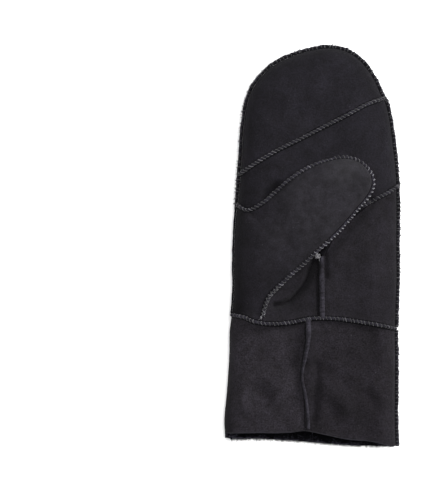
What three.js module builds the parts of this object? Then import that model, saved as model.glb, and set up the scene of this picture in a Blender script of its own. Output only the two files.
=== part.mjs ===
// A left-hand sheepskin mitten lying on its back, palm up, suede side out.
// Millimetres, +Z up, fingers towards +Y, thumb growing from the -X edge.
import * as THREE from 'three';
import { mergeVertices } from 'three/addons/utils/BufferGeometryUtils.js';

// Driving sizes
const LENGTH = 308.5;          // hem at the longer corner to the fingertips
const HALF_WIDTH = 63;         // half the width over the knuckles, inside the side seam
const THICKNESS = 29;          // hand part, back to palm
const SKIN = 2;                // suede skin
const GAP = 0.3;               // clear distance between neighbouring pieces
const SEAM_HEIGHT = 2.6;       // how far an overcast seam stands up
const SEAM_WIDTH = 3.2;        // across an overcast seam
const FOLD_HEIGHT = 1.2;       // the flatter side seam beside the heel of the thumb
const THUMB_LIFT = 8;          // thumb seam above the palm
const THUMB_BULGE = 8;         // crown of the thumb above its seam
const GUSSET_DEPTH = 5;        // fold of the gusset below the palm
const WOOL = 4;                // pile at the mouth
const PILE_IN_FOLD = 0.5;      // share of the pile's height that is left in the folded sides
const WOOL_DEPTH = 42;         // how far in the pile is seen
const WOOL_INSET = 1.5;        // pile behind the cut edge of the hem

// Sizes that follow from them
const EDGE = 0.42 * THICKNESS;              // side seam above the floor
const ROLL = 0.85 * THICKNESS;              // reach of the rounded sides
const THUMB_ROLL = 0.9 * THUMB_LIFT;        // rounded edge of the thumb's underside
const UNDER_THUMB = 2 * GAP;                // thumb's underside above the palm
const SEAM_RELIEF = SEAM_HEIGHT + 2 * GAP;  // how far the back is pressed in by the wrist seam
const RELIEF_REACH = 5 * SEAM_WIDTH;        // how far that hollow runs from the seam
const TIP_CLOSING = GAP / 6;                // back skin stops this far short of the fingertips
const THUMB_START = 7.6 / 15;               // share of the thumb's ribs where it comes free
const GUSSET_END = 7 / 15;                  // share of them where the gusset ends
const UPPER_SEAM = 0.47;                    // share of the thumb's seam on its upper edge
const NOSE_START = 0.93;                    // share of the ribs where the thumb's nose begins
const GUSSET_FOOT = 1 / 5;                  // share of the gusset that bends to the wrist seam

const named = (columns, rows) =>
  rows.map((values) => Object.fromEntries(columns.map((name, i) => [name, values[i]])));

// Side of the mitten from the hem up the thumb side, round the tip and down again.
// across is a share of HALF_WIDTH, along a share of LENGTH, as in every table below.
const OUTLINE = named(['across', 'along'], [
  [-1.085, -0.060],
  [-1.089, 0.031],
  [-1.097, 0.067],
  [-1.064, 0.142],
  [-1.036, 0.230],
  [-1.030, 0.293],
  [-1.002, 0.335],
  [-0.978, 0.393],
  [-0.981, 0.456],
  [-0.973, 0.524],
  [-0.958, 0.572],
  [-0.934, 0.609],
  [-0.908, 0.657],
  [-0.884, 0.720],
  [-0.861, 0.790],
  [-0.824, 0.850],
  [-0.753, 0.895],
  [-0.643, 0.928],
  [-0.496, 0.956],
  [-0.301, 0.977],
  [-0.055, 0.993],
  [0.178, 1.000],
  [0.400, 0.992],
  [0.565, 0.970],
  [0.700, 0.936],
  [0.785, 0.903],
  [0.836, 0.879],
  [0.884, 0.861],
  [0.930, 0.822],
  [0.974, 0.757],
  [1.012, 0.682],
  [1.021, 0.607],
  [1.019, 0.506],
  [1.021, 0.418],
  [1.008, 0.343],
  [1.000, 0.293],
  [1.003, 0.230],
  [1.001, 0.142],
  [0.999, 0.067],
  [1.008, 0.006],
  [1.008, -0.060],
]);

// Height of the palm along the mitten, as a share of THICKNESS
const CROWN = named(['along', 'height'], [
  [-0.060, 0.80],
  [0.040, 0.83],
  [0.160, 0.90],
  [0.318, 0.91],
  [0.450, 1.00],
  [0.650, 1.00],
  [0.850, 0.97],
  [1.000, 0.90],
]);

// Seams on the palm side; each end is carried to the side seam or to another seam
const TIP_SEAM = named(['across', 'along'], [
  [-0.897, 0.683],
  [-0.726, 0.708],
  [-0.444, 0.743],
  [-0.155, 0.772],
  [0.126, 0.802],
  [0.398, 0.830],
  [0.646, 0.857],
  [0.879, 0.876],
]);
const MIDDLE_SEAM = named(['across', 'along'], [
  [0.087, 0.476],
  [0.232, 0.533],
  [0.420, 0.573],
  [0.677, 0.613],
  [0.886, 0.636],
  [1.018, 0.653],
]);
const WRIST_SEAM = named(['across', 'along'], [
  [-1.010, 0.331],
  [-0.858, 0.326],
  [-0.726, 0.315],
  [-0.509, 0.310],
  [-0.275, 0.314],
  [-0.042, 0.323],
  [0.258, 0.323],
  [0.569, 0.314],
  [0.806, 0.306],
  [1.001, 0.296],
]);
const CUFF_SEAM = named(['across', 'along'], [
  [-0.064, 0.322],
  [-0.064, 0.274],
  [-0.103, 0.227],
  [-0.143, 0.178],
  [-0.101, 0.131],
  [-0.073, 0.085],
  [-0.062, 0.044],
]);
const PALM_HEM = named(['across', 'along'], [
  [-1.089, 0.033],
  [-0.960, 0.037],
  [-0.610, 0.039],
  [-0.298, 0.039],
  [-0.064, 0.044],
  [0.143, 0.036],
  [0.416, 0.023],
  [0.729, 0.017],
  [0.925, 0.007],
  [1.008, 0.002],
]);
const BACK_HEM = named(['across', 'along'], [
  [-1.089, 0.033],
  [-0.995, 0.021],
  [-0.602, 0.017],
  [-0.247, 0.013],
  [0.159, 0.006],
  [0.436, 0.001],
  [0.712, 0.000],
  [0.922, 0.000],
  [1.008, 0.002],
]);

// Ribs across the heel and the thumb, wrist first. The outer end runs up the side of the
// mitten to row SIDE_ROWS and then along the thumb's upper edge, the inner end along its
// lower edge. Lifts are shares of THUMB_LIFT above the palm, the bulge one of THUMB_BULGE.
const SIDE_ROWS = 5;
const THUMB_RIBS = named(
  ['outerAcross', 'outerAlong', 'innerAcross', 'innerAlong', 'outerLift', 'innerLift', 'bulge'], [
    [-1.004, 0.331, -0.640, 0.312, 0, 0.00, 0.00],
    [-0.979, 0.385, -0.603, 0.350, 0, 0.20, 0.12],
    [-0.981, 0.456, -0.555, 0.377, 0, 0.35, 0.25],
    [-0.974, 0.520, -0.490, 0.393, 0, 0.48, 0.38],
    [-0.956, 0.572, -0.420, 0.408, 0, 0.58, 0.48],
    [-0.932, 0.607, -0.334, 0.425, 0, 0.68, 0.55],
    [-0.815, 0.593, -0.150, 0.457, 0, 0.85, 0.65],
    [-0.620, 0.612, 0.030, 0.490, 0.38, 1.00, 0.80],
    [-0.460, 0.640, 0.170, 0.516, 0.78, 1.00, 0.92],
    [-0.340, 0.663, 0.290, 0.540, 0.97, 1.00, 1.00],
    [-0.120, 0.695, 0.410, 0.567, 1.00, 1.00, 1.00],
    [0.105, 0.715, 0.510, 0.592, 1.00, 1.00, 1.00],
    [0.349, 0.725, 0.610, 0.616, 1.00, 1.00, 0.98],
    [0.515, 0.717, 0.672, 0.636, 1.00, 1.00, 0.85],
    [0.615, 0.700, 0.698, 0.654, 1.00, 1.00, 0.60],
    [0.655, 0.688, 0.690, 0.672, 1.00, 1.00, 0.15],
  ]);
const LAST_RIB = THUMB_RIBS.length - 1;

// Depth of the gusset's fold along it, wrist first, as a share of GUSSET_DEPTH
const GUSSET_FOLD = named(['share', 'depth'], [
  [0.00, 0.00],
  [0.20, 0.55],
  [0.45, 1.00],
  [0.80, 0.90],
  [1.00, 0.30],
]);

const { lerp, clamp } = THREE.MathUtils;

// Curves in plan
function planCurve(rows) {
  const points = rows.map((row) => new THREE.Vector3(row.across * HALF_WIDTH, row.along * LENGTH, 0));
  return new THREE.CatmullRomCurve3(points, false, 'centripetal');
}

function planPoint(row, across, along) {
  return new THREE.Vector3(row[across] * HALF_WIDTH, row[along] * LENGTH, 0);
}

function column(rows, at, value, place) {
  const last = rows.length - 1;
  if (place <= rows[0][at]) return rows[0][value];
  if (place >= rows[last][at]) return rows[last][value];
  const i = rows.findIndex((row) => row[at] > place);
  const share = (place - rows[i - 1][at]) / (rows[i][at] - rows[i - 1][at]);
  const eased = share * share * (3 - 2 * share);
  return lerp(rows[i - 1][value], rows[i][value], eased);
}

const outline = planCurve(OUTLINE);
const OUTLINE_STEPS = 400;
const HALVINGS = 30;
const outlinePoints = outline.getPoints(OUTLINE_STEPS);

// Nearest place on the side of the mitten: its distance, its share and the way in from it
function nearest(x, y) {
  let best = { distance: Infinity };
  for (let i = 0; i < OUTLINE_STEPS; i += 1) {
    const a = outlinePoints[i];
    const b = outlinePoints[i + 1];
    const dx = b.x - a.x;
    const dy = b.y - a.y;
    const step = Math.hypot(dx, dy);
    const share = clamp(((x - a.x) * dx + (y - a.y) * dy) / (step * step), 0, 1);
    const px = x - a.x - share * dx;
    const py = y - a.y - share * dy;
    const away = Math.hypot(px, py);
    if (away < best.distance) {
      const inside = (px * dy - py * dx) / step;
      best = { distance: away, inside, share: (i + share) / OUTLINE_STEPS, inX: dy / step, inY: -dx / step };
    }
  }
  return best;
}

// Rounded side: 0 on the outline, 1 where the top or the underside is flat
function rounding(x, y) {
  const { inside } = nearest(x, y);
  const rest = 1 - clamp(inside / ROLL, 0, 1);
  return Math.sqrt(1 - rest * rest);
}

function palmHeight(x, y) {
  const crown = THICKNESS * column(CROWN, 'along', 'height', y / LENGTH);
  return lerp(EDGE, crown, rounding(x, y));
}

const palmPoint = (point) => new THREE.Vector3(point.x, point.y, palmHeight(point.x, point.y));

// Place on the outline at a given y, on either side
const fingertips = outlinePoints.reduce((best, point) => (point.y > best.y ? point : best));
const TIP_SHARE = nearest(fingertips.x, fingertips.y).share;

function sideShare(y, thumbSide) {
  let low = thumbSide ? 0 : 1;
  let high = TIP_SHARE;
  for (let i = 0; i < HALVINGS; i += 1) {
    const middle = (low + high) / 2;
    if (outline.getPoint(middle).y < y) low = middle;
    else high = middle;
  }
  return low;
}

const sideX = (y, thumbSide) => outline.getPoint(sideShare(y, thumbSide)).x;

// A seam whose ends may be carried to the outline
function seamCurve(rows, startOnSide, endOnSide) {
  const points = planCurve(rows).points;
  const last = points.length - 1;
  const snap = (i) => points[i].copy(outline.getPoint(nearest(points[i].x, points[i].y).share));
  if (startOnSide) snap(0);
  if (endOnSide) snap(last);
  return new THREE.CatmullRomCurve3(points, false, 'centripetal');
}

const tipSeam = seamCurve(TIP_SEAM, true, true);
const middleSeam = seamCurve(MIDDLE_SEAM, false, true);
const wristSeam = seamCurve(WRIST_SEAM, true, true);
const cuffSeam = seamCurve(CUFF_SEAM, false, false);
const palmHem = seamCurve(PALM_HEM, true, true);
const backHem = seamCurve(BACK_HEM, true, true);

// Share of a crosswise seam at a given x, and its y there
function seamShare(curve, x) {
  let low = 0;
  let high = 1;
  for (let i = 0; i < HALVINGS; i += 1) {
    const middle = (low + high) / 2;
    if (curve.getPoint(middle).x < x) low = middle;
    else high = middle;
  }
  return low;
}

const seamY = (curve, x) => curve.getPoint(seamShare(curve, x)).y;

// The underside is flat on the floor, pressed in where the wrist seam crosses it
function backHeight(x, y) {
  const round = rounding(x, y);
  const beside = Math.max(0, Math.abs(y - seamY(wristSeam, x)) - SEAM_WIDTH / 2 - GAP);
  const off = beside / RELIEF_REACH;
  const relief = off < 1 ? SEAM_RELIEF * (1 + Math.cos(Math.PI * off)) / 2 : 0;
  return EDGE * (1 - round) + relief * round * round;
}

// Ribs of the heel and thumb in plan
const ribSide = new THREE.CatmullRomCurve3(
  THUMB_RIBS.slice(0, SIDE_ROWS + 1).map((row) => planPoint(row, 'outerAcross', 'outerAlong')),
  false, 'centripetal');
const ribUpper = new THREE.CatmullRomCurve3(
  THUMB_RIBS.slice(SIDE_ROWS).map((row) => planPoint(row, 'outerAcross', 'outerAlong')),
  false, 'centripetal');
const ribLower = new THREE.CatmullRomCurve3(
  THUMB_RIBS.map((row) => planPoint(row, 'innerAcross', 'innerAlong')),
  false, 'centripetal');

function ribValue(value, u) {
  const place = clamp(u, 0, 1) * LAST_RIB;
  const i = Math.min(Math.floor(place), LAST_RIB - 1);
  const share = place - i;
  return lerp(THUMB_RIBS[i][value], THUMB_RIBS[i + 1][value], share);
}

function stitchOuter(u) {
  const place = u * LAST_RIB;
  if (place <= SIDE_ROWS) {
    const side = ribSide.getPoint(place / SIDE_ROWS);
    return outline.getPoint(nearest(side.x, side.y).share);
  }
  return ribUpper.getPoint((place - SIDE_ROWS) / (LAST_RIB - SIDE_ROWS));
}

const stitchInner = (u) => ribLower.getPoint(u);

// Where the thumb is free the skins end behind the seam that stands out from them
function ribEnds(u) {
  const outer = stitchOuter(u);
  const inner = stitchInner(u);
  const across = inner.clone().sub(outer).normalize();
  const back = SEAM_HEIGHT / 2 + GAP;
  outer.addScaledVector(across, back * ribValue('outerLift', u));
  inner.addScaledVector(across, -back * ribValue('innerLift', u));
  return { outer, inner };
}

// Along the wrist seam the lowest rib follows that seam
function ribPlan(u, t) {
  const { outer, inner } = ribEnds(u);
  const point = outer.lerp(inner, t);
  const toWrist = 1 - clamp(u * LAST_RIB, 0, 1);
  if (toWrist > 0) {
    const foot = ribEnds(0);
    const straight = foot.outer.clone().lerp(foot.inner, t);
    point.y += toWrist * (seamY(wristSeam, straight.x) - straight.y);
  }
  return point;
}

const halfTurn = (v) => (1 - Math.cos(Math.PI * v)) / 2;
const quarterTurn = (v) => Math.sin(Math.PI * v / 2);

function thumbFront(u, v) {
  const t = halfTurn(v);
  const point = ribPlan(u, t);
  const lift = lerp(ribValue('outerLift', u), ribValue('innerLift', u), t * t * (3 - 2 * t));
  const swell = lerp((1 - Math.cos(2 * Math.PI * t)) / 2, Math.sin(Math.PI * v), Math.min(1, lift));
  const bulge = ribValue('bulge', u) * THUMB_BULGE * swell;
  return palmPoint(point).add(new THREE.Vector3(0, 0, lift * THUMB_LIFT + bulge + GAP / 2));
}

// Quarter round that falls from 1 at a seam to 0 where it has run its reach
function fall(away, reach) {
  const rest = 1 - clamp(away / reach, 0, 1);
  return 1 - Math.sqrt(1 - rest * rest);
}

function thumbBack(share, v) {
  const u = lerp(THUMB_START, 1, share);
  const t = halfTurn(v);
  const point = ribPlan(u, t);
  const { outer, inner } = ribEnds(u);
  const width = outer.distanceTo(inner);
  const reach = Math.min(THUMB_ROLL, width / 2);
  const outerRise = Math.max(0, ribValue('outerLift', u) * THUMB_LIFT - UNDER_THUMB - GAP / 2);
  const innerRise = Math.max(0, ribValue('innerLift', u) * THUMB_LIFT - UNDER_THUMB - GAP / 2);
  const rise = UNDER_THUMB + outerRise * fall(t * width, reach) + innerRise * fall((1 - t) * width, reach);
  return palmPoint(point).add(new THREE.Vector3(0, 0, rise));
}

// Straight palm seam from the foot of the middle seam down to the wrist
const heelTop = middleSeam.getPoint(0);
const heelFoot = new THREE.Vector3(heelTop.x + 0.012 * HALF_WIDTH, 0, 0);
heelFoot.y = seamY(wristSeam, heelFoot.x);
const heelPoint = (share) => heelFoot.clone().lerp(heelTop, share);

function gusset(share, v) {
  const u = GUSSET_END * share;
  const { inner } = ribEnds(u);
  const foot = ribEnds(0).inner;
  const far = heelPoint(share);
  const point = inner.clone().lerp(far, v);
  const toWrist = 1 - clamp(share / GUSSET_FOOT, 0, 1);
  if (toWrist > 0) {
    const straight = foot.clone().lerp(heelPoint(0), v);
    point.y += toWrist * (seamY(wristSeam, straight.x) - straight.y);
  }
  const width = inner.distanceTo(far);
  const reach = Math.min(THUMB_ROLL, width / 2);
  const depth = GUSSET_DEPTH * column(GUSSET_FOLD, 'share', 'depth', share);
  const valley = Math.pow(Math.sin(Math.PI * Math.pow(v, 0.7)), 1.2);
  const rise = (ribValue('innerLift', u) * THUMB_LIFT - GAP / 2) * fall(v * width, reach);
  return palmPoint(point).add(new THREE.Vector3(0, 0, rise - depth * valley));
}

// A plan region between four curves, blended from all of them
function region(low, high, start, end) {
  return (u, v) => {
    const a = low(u).multiplyScalar(1 - v).add(high(u).multiplyScalar(v));
    const b = start(v).multiplyScalar(1 - u).add(end(v).multiplyScalar(u));
    const c = low(0).multiplyScalar((1 - u) * (1 - v)).add(low(1).multiplyScalar(u * (1 - v)));
    c.add(high(0).multiplyScalar((1 - u) * v)).add(high(1).multiplyScalar(u * v));
    return a.add(b).sub(c);
  };
}

const between = (curve, from, to) => (share) => curve.getPoint(lerp(from, to, share));
const shareOf = (point) => nearest(point.x, point.y).share;

// Lower edge of the middle panel: thumb seam, edge of the thumb hole, middle seam
const thumbRoot = stitchOuter(THUMB_START);
const holeFoot = stitchInner(THUMB_START);
const sideCorner = stitchOuter(SIDE_ROWS / LAST_RIB);
const HOLE_START = (thumbRoot.x - sideCorner.x) / (2 * HALF_WIDTH);
const HOLE_END = HOLE_START + (holeFoot.x - thumbRoot.x) / (2 * HALF_WIDTH);
const middleFrom = seamShare(middleSeam, holeFoot.x + SEAM_WIDTH);

function middleFoot(share) {
  if (share < HOLE_START) {
    return stitchOuter(lerp(SIDE_ROWS / LAST_RIB, THUMB_START, share / HOLE_START));
  }
  if (share < HOLE_END) {
    return thumbRoot.clone().lerp(holeFoot, (share - HOLE_START) / (HOLE_END - HOLE_START));
  }
  return middleSeam.getPoint(lerp(middleFrom, 1, (share - HOLE_END) / (1 - HOLE_END)));
}

const tipStart = shareOf(tipSeam.getPoint(0));
const tipEnd = shareOf(tipSeam.getPoint(1));
const tipRegion = (u, v) =>
  tipSeam.getPoint(u).lerp(outline.getPoint(lerp(tipStart, tipEnd, u)), quarterTurn(v));
const middleRegion = region(
  middleFoot, between(tipSeam, 0, 1),
  between(outline, shareOf(middleFoot(0)), tipStart),
  between(outline, shareOf(middleSeam.getPoint(1)), tipEnd));
const lowerRegion = region(
  between(wristSeam, seamShare(wristSeam, heelFoot.x), 1), between(middleSeam, 0, 1),
  heelPoint,
  between(outline, shareOf(wristSeam.getPoint(1)), shareOf(middleSeam.getPoint(1))));

const onPalm = (plan) => (u, v) => palmPoint(plan(u, v)).add(new THREE.Vector3(0, 0, GAP / 2));

function handBack(u, v) {
  const share = halfTurn(u);
  const up = quarterTurn(v);
  const wristX = lerp(wristSeam.getPoint(0).x, wristSeam.getPoint(1).x, share);
  const y = lerp(seamY(wristSeam, wristX), fingertips.y - TIP_CLOSING, up);
  const x = lerp(sideX(y, true), sideX(y, false), share);
  return new THREE.Vector3(x, y, backHeight(x, y) - GAP / 2);
}

// A point of the cuff: side 0 on the palm, 1 on the back; down from the wrist to the hem
function cuffPoint(share, onBack, down) {
  const wristX = lerp(wristSeam.getPoint(0).x, wristSeam.getPoint(1).x, share);
  const foot = onBack ? backHem : palmHem;
  const y = lerp(seamY(wristSeam, wristX), seamY(foot, wristX), down);
  const x = lerp(sideX(y, true), sideX(y, false), share);
  return new THREE.Vector3(x, y, onBack ? backHeight(x, y) : palmHeight(x, y));
}

const CUFF_TURN = 11 / 32;
const wristStart = wristSeam.getPoint(0).x;
const wristWidth = wristSeam.getPoint(1).x - wristStart;
const cuffSeamShare = (down) => (cuffSeam.getPoint(down).x - wristStart) / wristWidth;

// One skin from the palm seam of the cuff round the thumb side and over the whole back
function cuffWrap(u, v) {
  if (u < CUFF_TURN) {
    return cuffPoint(cuffSeamShare(v) * (1 - quarterTurn(u / CUFF_TURN)), false, v);
  }
  return cuffPoint(halfTurn((u - CUFF_TURN) / (1 - CUFF_TURN)), true, v);
}

function cuffPalm(u, v) {
  return cuffPoint(lerp(cuffSeamShare(v), 1, quarterTurn(u)), false, v).add(new THREE.Vector3(0, 0, GAP / 2));
}

// Pile inside the mouth, all the way round
function wool(u, v) {
  const onBack = u >= 0.5;
  const share = onBack ? halfTurn(2 * u - 1) : 1 - halfTurn(2 * u);
  const hemPoint = cuffPoint(share, onBack, 1);
  const y = hemPoint.y + WOOL_INSET + WOOL_DEPTH * v;
  const x = lerp(sideX(y, true), sideX(y, false), share);
  return new THREE.Vector3(x, y, onBack ? backHeight(x, y) : palmHeight(x, y));
}

// Solids
function solid(vertices, faces) {
  const geometry = new THREE.BufferGeometry();
  geometry.setAttribute('position', new THREE.Float32BufferAttribute(vertices, 3));
  geometry.setIndex(faces);
  return mergeVertices(geometry, 1e-4);
}

// Way out of the hand or cuff, on the palm or on the back
function bodyNormal(point, onBack) {
  const { inside, inX, inY } = nearest(point.x, point.y);
  const rest = 1 - clamp(inside / ROLL, 0, 1);
  const rise = onBack ? EDGE : THICKNESS - EDGE;
  const sideways = rest / ROLL;
  const vertical = Math.sqrt(1 - rest * rest) / rise;
  return new THREE.Vector3(-inX * sideways, -inY * sideways, onBack ? -vertical : vertical).normalize();
}

const palmSide = (point) => bodyNormal(point, false);
const backSide = (point) => bodyNormal(point, true);

// Way out at the thumb's own seam: up from the palm where it lies on it, sideways where it is free
function seamOut(u, onUpper) {
  const end = onUpper ? 'outer' : 'inner';
  const ends = ribEnds(u);
  const step = 0.004;
  const along = ribEnds(Math.min(u + step, 1))[end].sub(ribEnds(Math.max(u - step, 0))[end]).normalize();
  const away = new THREE.Vector3(-along.y, along.x, 0).multiplyScalar(onUpper ? 1 : -1);
  const nose = clamp((u - NOSE_START) / (1 - NOSE_START), 0, 1);
  const axis = ends.outer.clone().sub(ends.inner).normalize();
  away.lerp(new THREE.Vector3(axis.y, -axis.x, 0), nose * nose).normalize();
  const free = Math.min(1, 1.1 * ribValue(onUpper ? 'outerLift' : 'innerLift', u));
  return bodyNormal(ends[end], false).lerp(away, free).normalize();
}

function normalAt(map, u, v) {
  const step = 1e-3;
  const a = map(Math.min(u + step, 1), v).sub(map(Math.max(u - step, 0), v));
  const b = map(u, Math.min(v + step, 1)).sub(map(u, Math.max(v - step, 0)));
  return a.cross(b).normalize();
}

// A skin of even thickness below a surface. insets keep it off its neighbours at
// u = 0, u = 1, v = 0 and v = 1; side is +1 where the surface's own normal points out.
function skin(map, countU, countV, side, insets, options = {}) {
  const { normalOf = null, startOut = null, endOut = null } = options;
  const { under = 0, thick = () => SKIN, closed = false, spread = (share) => share } = options;
  const outer = [];
  const inner = [];
  const lengthU = map(1, 0.5).distanceTo(map(0.5, 0.5)) + map(0, 0.5).distanceTo(map(0.5, 0.5));
  const columns = closed ? countU : countU + 1;
  for (let i = 0; i < columns; i += 1) {
    const u = lerp(insets[0] / lengthU, 1 - insets[1] / lengthU, i / countU);
    const lengthV = map(u, 1).distanceTo(map(u, 0));
    for (let j = 0; j <= countV; j += 1) {
      const v = lerp(insets[2] / lengthV, 1 - insets[3] / lengthV, spread(j / countV));
      const point = map(u, v);
      let normal = normalOf ? normalOf(point, u) : normalAt(map, u, v).multiplyScalar(side);
      if (startOut && j === 0) normal = startOut(u, point);
      if (endOut && j === countV) normal = endOut(u, point);
      outer.push(point.clone().addScaledVector(normal, -under));
      inner.push(point.addScaledVector(normal, -under - thick(normal)));
    }
  }
  const points = [...outer, ...inner];
  const deep = outer.length;
  const at = (i, j) => (i % columns) * (countV + 1) + j;
  const faces = [];
  const quad = (a, b, c, d) => {
    if (side > 0) faces.push(a, b, c, a, c, d);
    else faces.push(a, c, b, a, d, c);
  };
  for (let i = 0; i < countU; i += 1) {
    for (let j = 0; j < countV; j += 1) {
      quad(at(i, j), at(i + 1, j), at(i + 1, j + 1), at(i, j + 1));
      quad(deep + at(i, j), deep + at(i, j + 1), deep + at(i + 1, j + 1), deep + at(i + 1, j));
    }
    quad(at(i, 0), deep + at(i, 0), deep + at(i + 1, 0), at(i + 1, 0));
    quad(at(i, countV), at(i + 1, countV), deep + at(i + 1, countV), deep + at(i, countV));
  }
  if (!closed) {
    for (let j = 0; j < countV; j += 1) {
      quad(at(0, j), at(0, j + 1), deep + at(0, j + 1), deep + at(0, j));
      quad(at(countU, j), deep + at(countU, j), deep + at(countU, j + 1), at(countU, j + 1));
    }
  }
  return solid(points.flatMap((point) => point.toArray()), faces);
}

// Cross-section of an overcast seam: across it as a share of its width, out as one of its height
const SEAM_SECTION = named(['across', 'out'], [
  [-0.50, 0.00],
  [-0.50, 0.60],
  [-0.22, 1.00],
  [0.22, 1.00],
  [0.50, 0.60],
  [0.50, 0.00],
]);

// A seam swept along path(share), which gives its foot and the way it stands out
function ridge(path, count, height, closed) {
  const points = [];
  const sides = SEAM_SECTION.length;
  const stations = closed ? count : count + 1;
  for (let i = 0; i < stations; i += 1) {
    const share = i / count;
    const step = 0.5 / count;
    const { foot, out } = path(share);
    const ahead = path(closed ? (share + step) % 1 : Math.min(share + step, 1)).foot;
    const behind = path(closed ? (share - step + 1) % 1 : Math.max(share - step, 0)).foot;
    const along = ahead.clone().sub(behind).normalize();
    const across = along.clone().cross(out).normalize();
    const up = across.clone().cross(along).normalize();
    for (const corner of SEAM_SECTION) {
      const point = foot.clone().addScaledVector(across, corner.across * SEAM_WIDTH);
      points.push(point.addScaledVector(up, GAP + corner.out * height(share)));
    }
  }
  const faces = [];
  for (let i = 0; i < count; i += 1) {
    const a = (i % stations) * sides;
    const b = ((i + 1) % stations) * sides;
    for (let j = 0; j < sides; j += 1) {
      const k = (j + 1) % sides;
      faces.push(a + j, a + k, b + k, a + j, b + k, b + j);
    }
  }
  if (!closed) {
    const last = count * sides;
    for (let j = 1; j < sides - 1; j += 1) {
      faces.push(0, j + 1, j);
      faces.push(last, last + j, last + j + 1);
    }
  }
  return solid(points.flatMap((point) => point.toArray()), faces);
}

const palmSeam = (curve) => (share) => {
  const point = curve(share);
  return { foot: palmPoint(point).add(new THREE.Vector3(0, 0, GAP / 2)), out: bodyNormal(point, false) };
};

// From the side of the mitten along the thumb's upper edge, round it and down to the wrist
function thumbSeamPath(share) {
  const onUpper = share < UPPER_SEAM;
  const u = onUpper
    ? lerp((SIDE_ROWS + 0.3) / LAST_RIB, 1, share / UPPER_SEAM)
    : lerp(1, 0.55 / LAST_RIB, (share - UPPER_SEAM) / (1 - UPPER_SEAM));
  const foot = palmPoint(ribEnds(u)[onUpper ? 'outer' : 'inner']);
  foot.z += ribValue(onUpper ? 'outerLift' : 'innerLift', u) * THUMB_LIFT + GAP / 2;
  return { foot, out: seamOut(u, onUpper) };
}

// Down the thumb side to the wrist the side seam lies flatter
const sideFrom = shareOf(wristSeam.getPoint(0));
const sideTo = shareOf(wristSeam.getPoint(1));
const sideCornerShare = shareOf(sideCorner);
const sideStart = sideShare(outline.getPoint(sideFrom).y + SEAM_WIDTH, true);
const sideEnd = sideShare(outline.getPoint(sideTo).y + SEAM_WIDTH, false);
const sideSpan = (share) => lerp(sideStart, sideEnd, share);

const alongSide = (span) => (share) => {
  const place = outline.getPoint(span(share));
  const { inX, inY } = nearest(place.x, place.y);
  return { foot: new THREE.Vector3(place.x, place.y, EDGE), out: new THREE.Vector3(-inX, -inY, 0) };
};

// The cuff is closed by a seam of its own on the little finger's side
const cuffSideStart = sideShare(outline.getPoint(sideTo).y - SEAM_WIDTH, false);
const cuffSideEnd = sideShare(palmHem.getPoint(1).y + SEAM_WIDTH / 2, false);
const cuffSideSpan = (share) => lerp(cuffSideStart, cuffSideEnd, share);

function sideSeamHeight(share) {
  const past = clamp((sideSpan(share) - sideCornerShare + 0.02) / 0.04, 0, 1);
  return lerp(FOLD_HEIGHT, SEAM_HEIGHT, past);
}

// Round the wrist: across the palm and back underneath
function wristSeamPath(share) {
  const onBack = share >= 0.5;
  const lateral = onBack ? 1 - halfTurn(2 * share - 1) : halfTurn(2 * share);
  const start = wristSeam.getPoint(0).x;
  const end = wristSeam.getPoint(1).x;
  const x = lerp(start, end, lateral);
  const y = seamY(wristSeam, x);
  const z = onBack ? backHeight(x, y) : palmHeight(x, y);
  const foot = new THREE.Vector3(x, y, onBack ? z - GAP / 2 : z + GAP / 2);
  return { foot, out: bodyNormal(foot, onBack) };
}

// Colours of the pieces
const SUEDE = 0x2b292d;
const THUMB_SUEDE = 0x332f34;
const THREAD = 0x3a383d;
const PILE = 0x0d0c0f;
const object = new THREE.Group();

function piece(name, geometry, colour, roughness) {
  const material = new THREE.MeshStandardMaterial({ color: colour, roughness, metalness: 0 });
  const mesh = new THREE.Mesh(geometry, material);
  mesh.name = name;
  object.add(mesh);
}

const half = GAP / 2;
const overcast = () => SEAM_HEIGHT;
const palm = { normalOf: palmSide };
const closer = (share) => Math.pow(share, 1.4);   // finer cells beside the wrist seam
const back = { normalOf: backSide, spread: closer };
const cuffTop = { normalOf: palmSide, spread: closer };
const cuffSides = { normalOf: (point, u) => bodyNormal(point, u > CUFF_TURN), spread: closer };
const pile = {
  normalOf: (point, u) => bodyNormal(point, u > 0.5),
  under: SKIN + GAP,
  thick: (normal) => WOOL * lerp(PILE_IN_FOLD, 1, Math.abs(normal.z)),
  closed: true,
};
const frontEdges = {
  startOut: (u, point) => (u * LAST_RIB < SIDE_ROWS ? palmSide(point) : seamOut(u, true)),
  endOut: (u) => seamOut(u, false),
};
const freeShare = (share) => lerp(THUMB_START, 1, share);
const backEdges = {
  startOut: (share) => seamOut(freeShare(share), true),
  endOut: (share) => seamOut(freeShare(share), false),
};
const gussetEdges = {
  startOut: (share) => seamOut(GUSSET_END * share, false),
  endOut: (share, point) => palmSide(point),
};
const eased = (plan, easing) => (u, v) => plan(easing(u), v);

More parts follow.
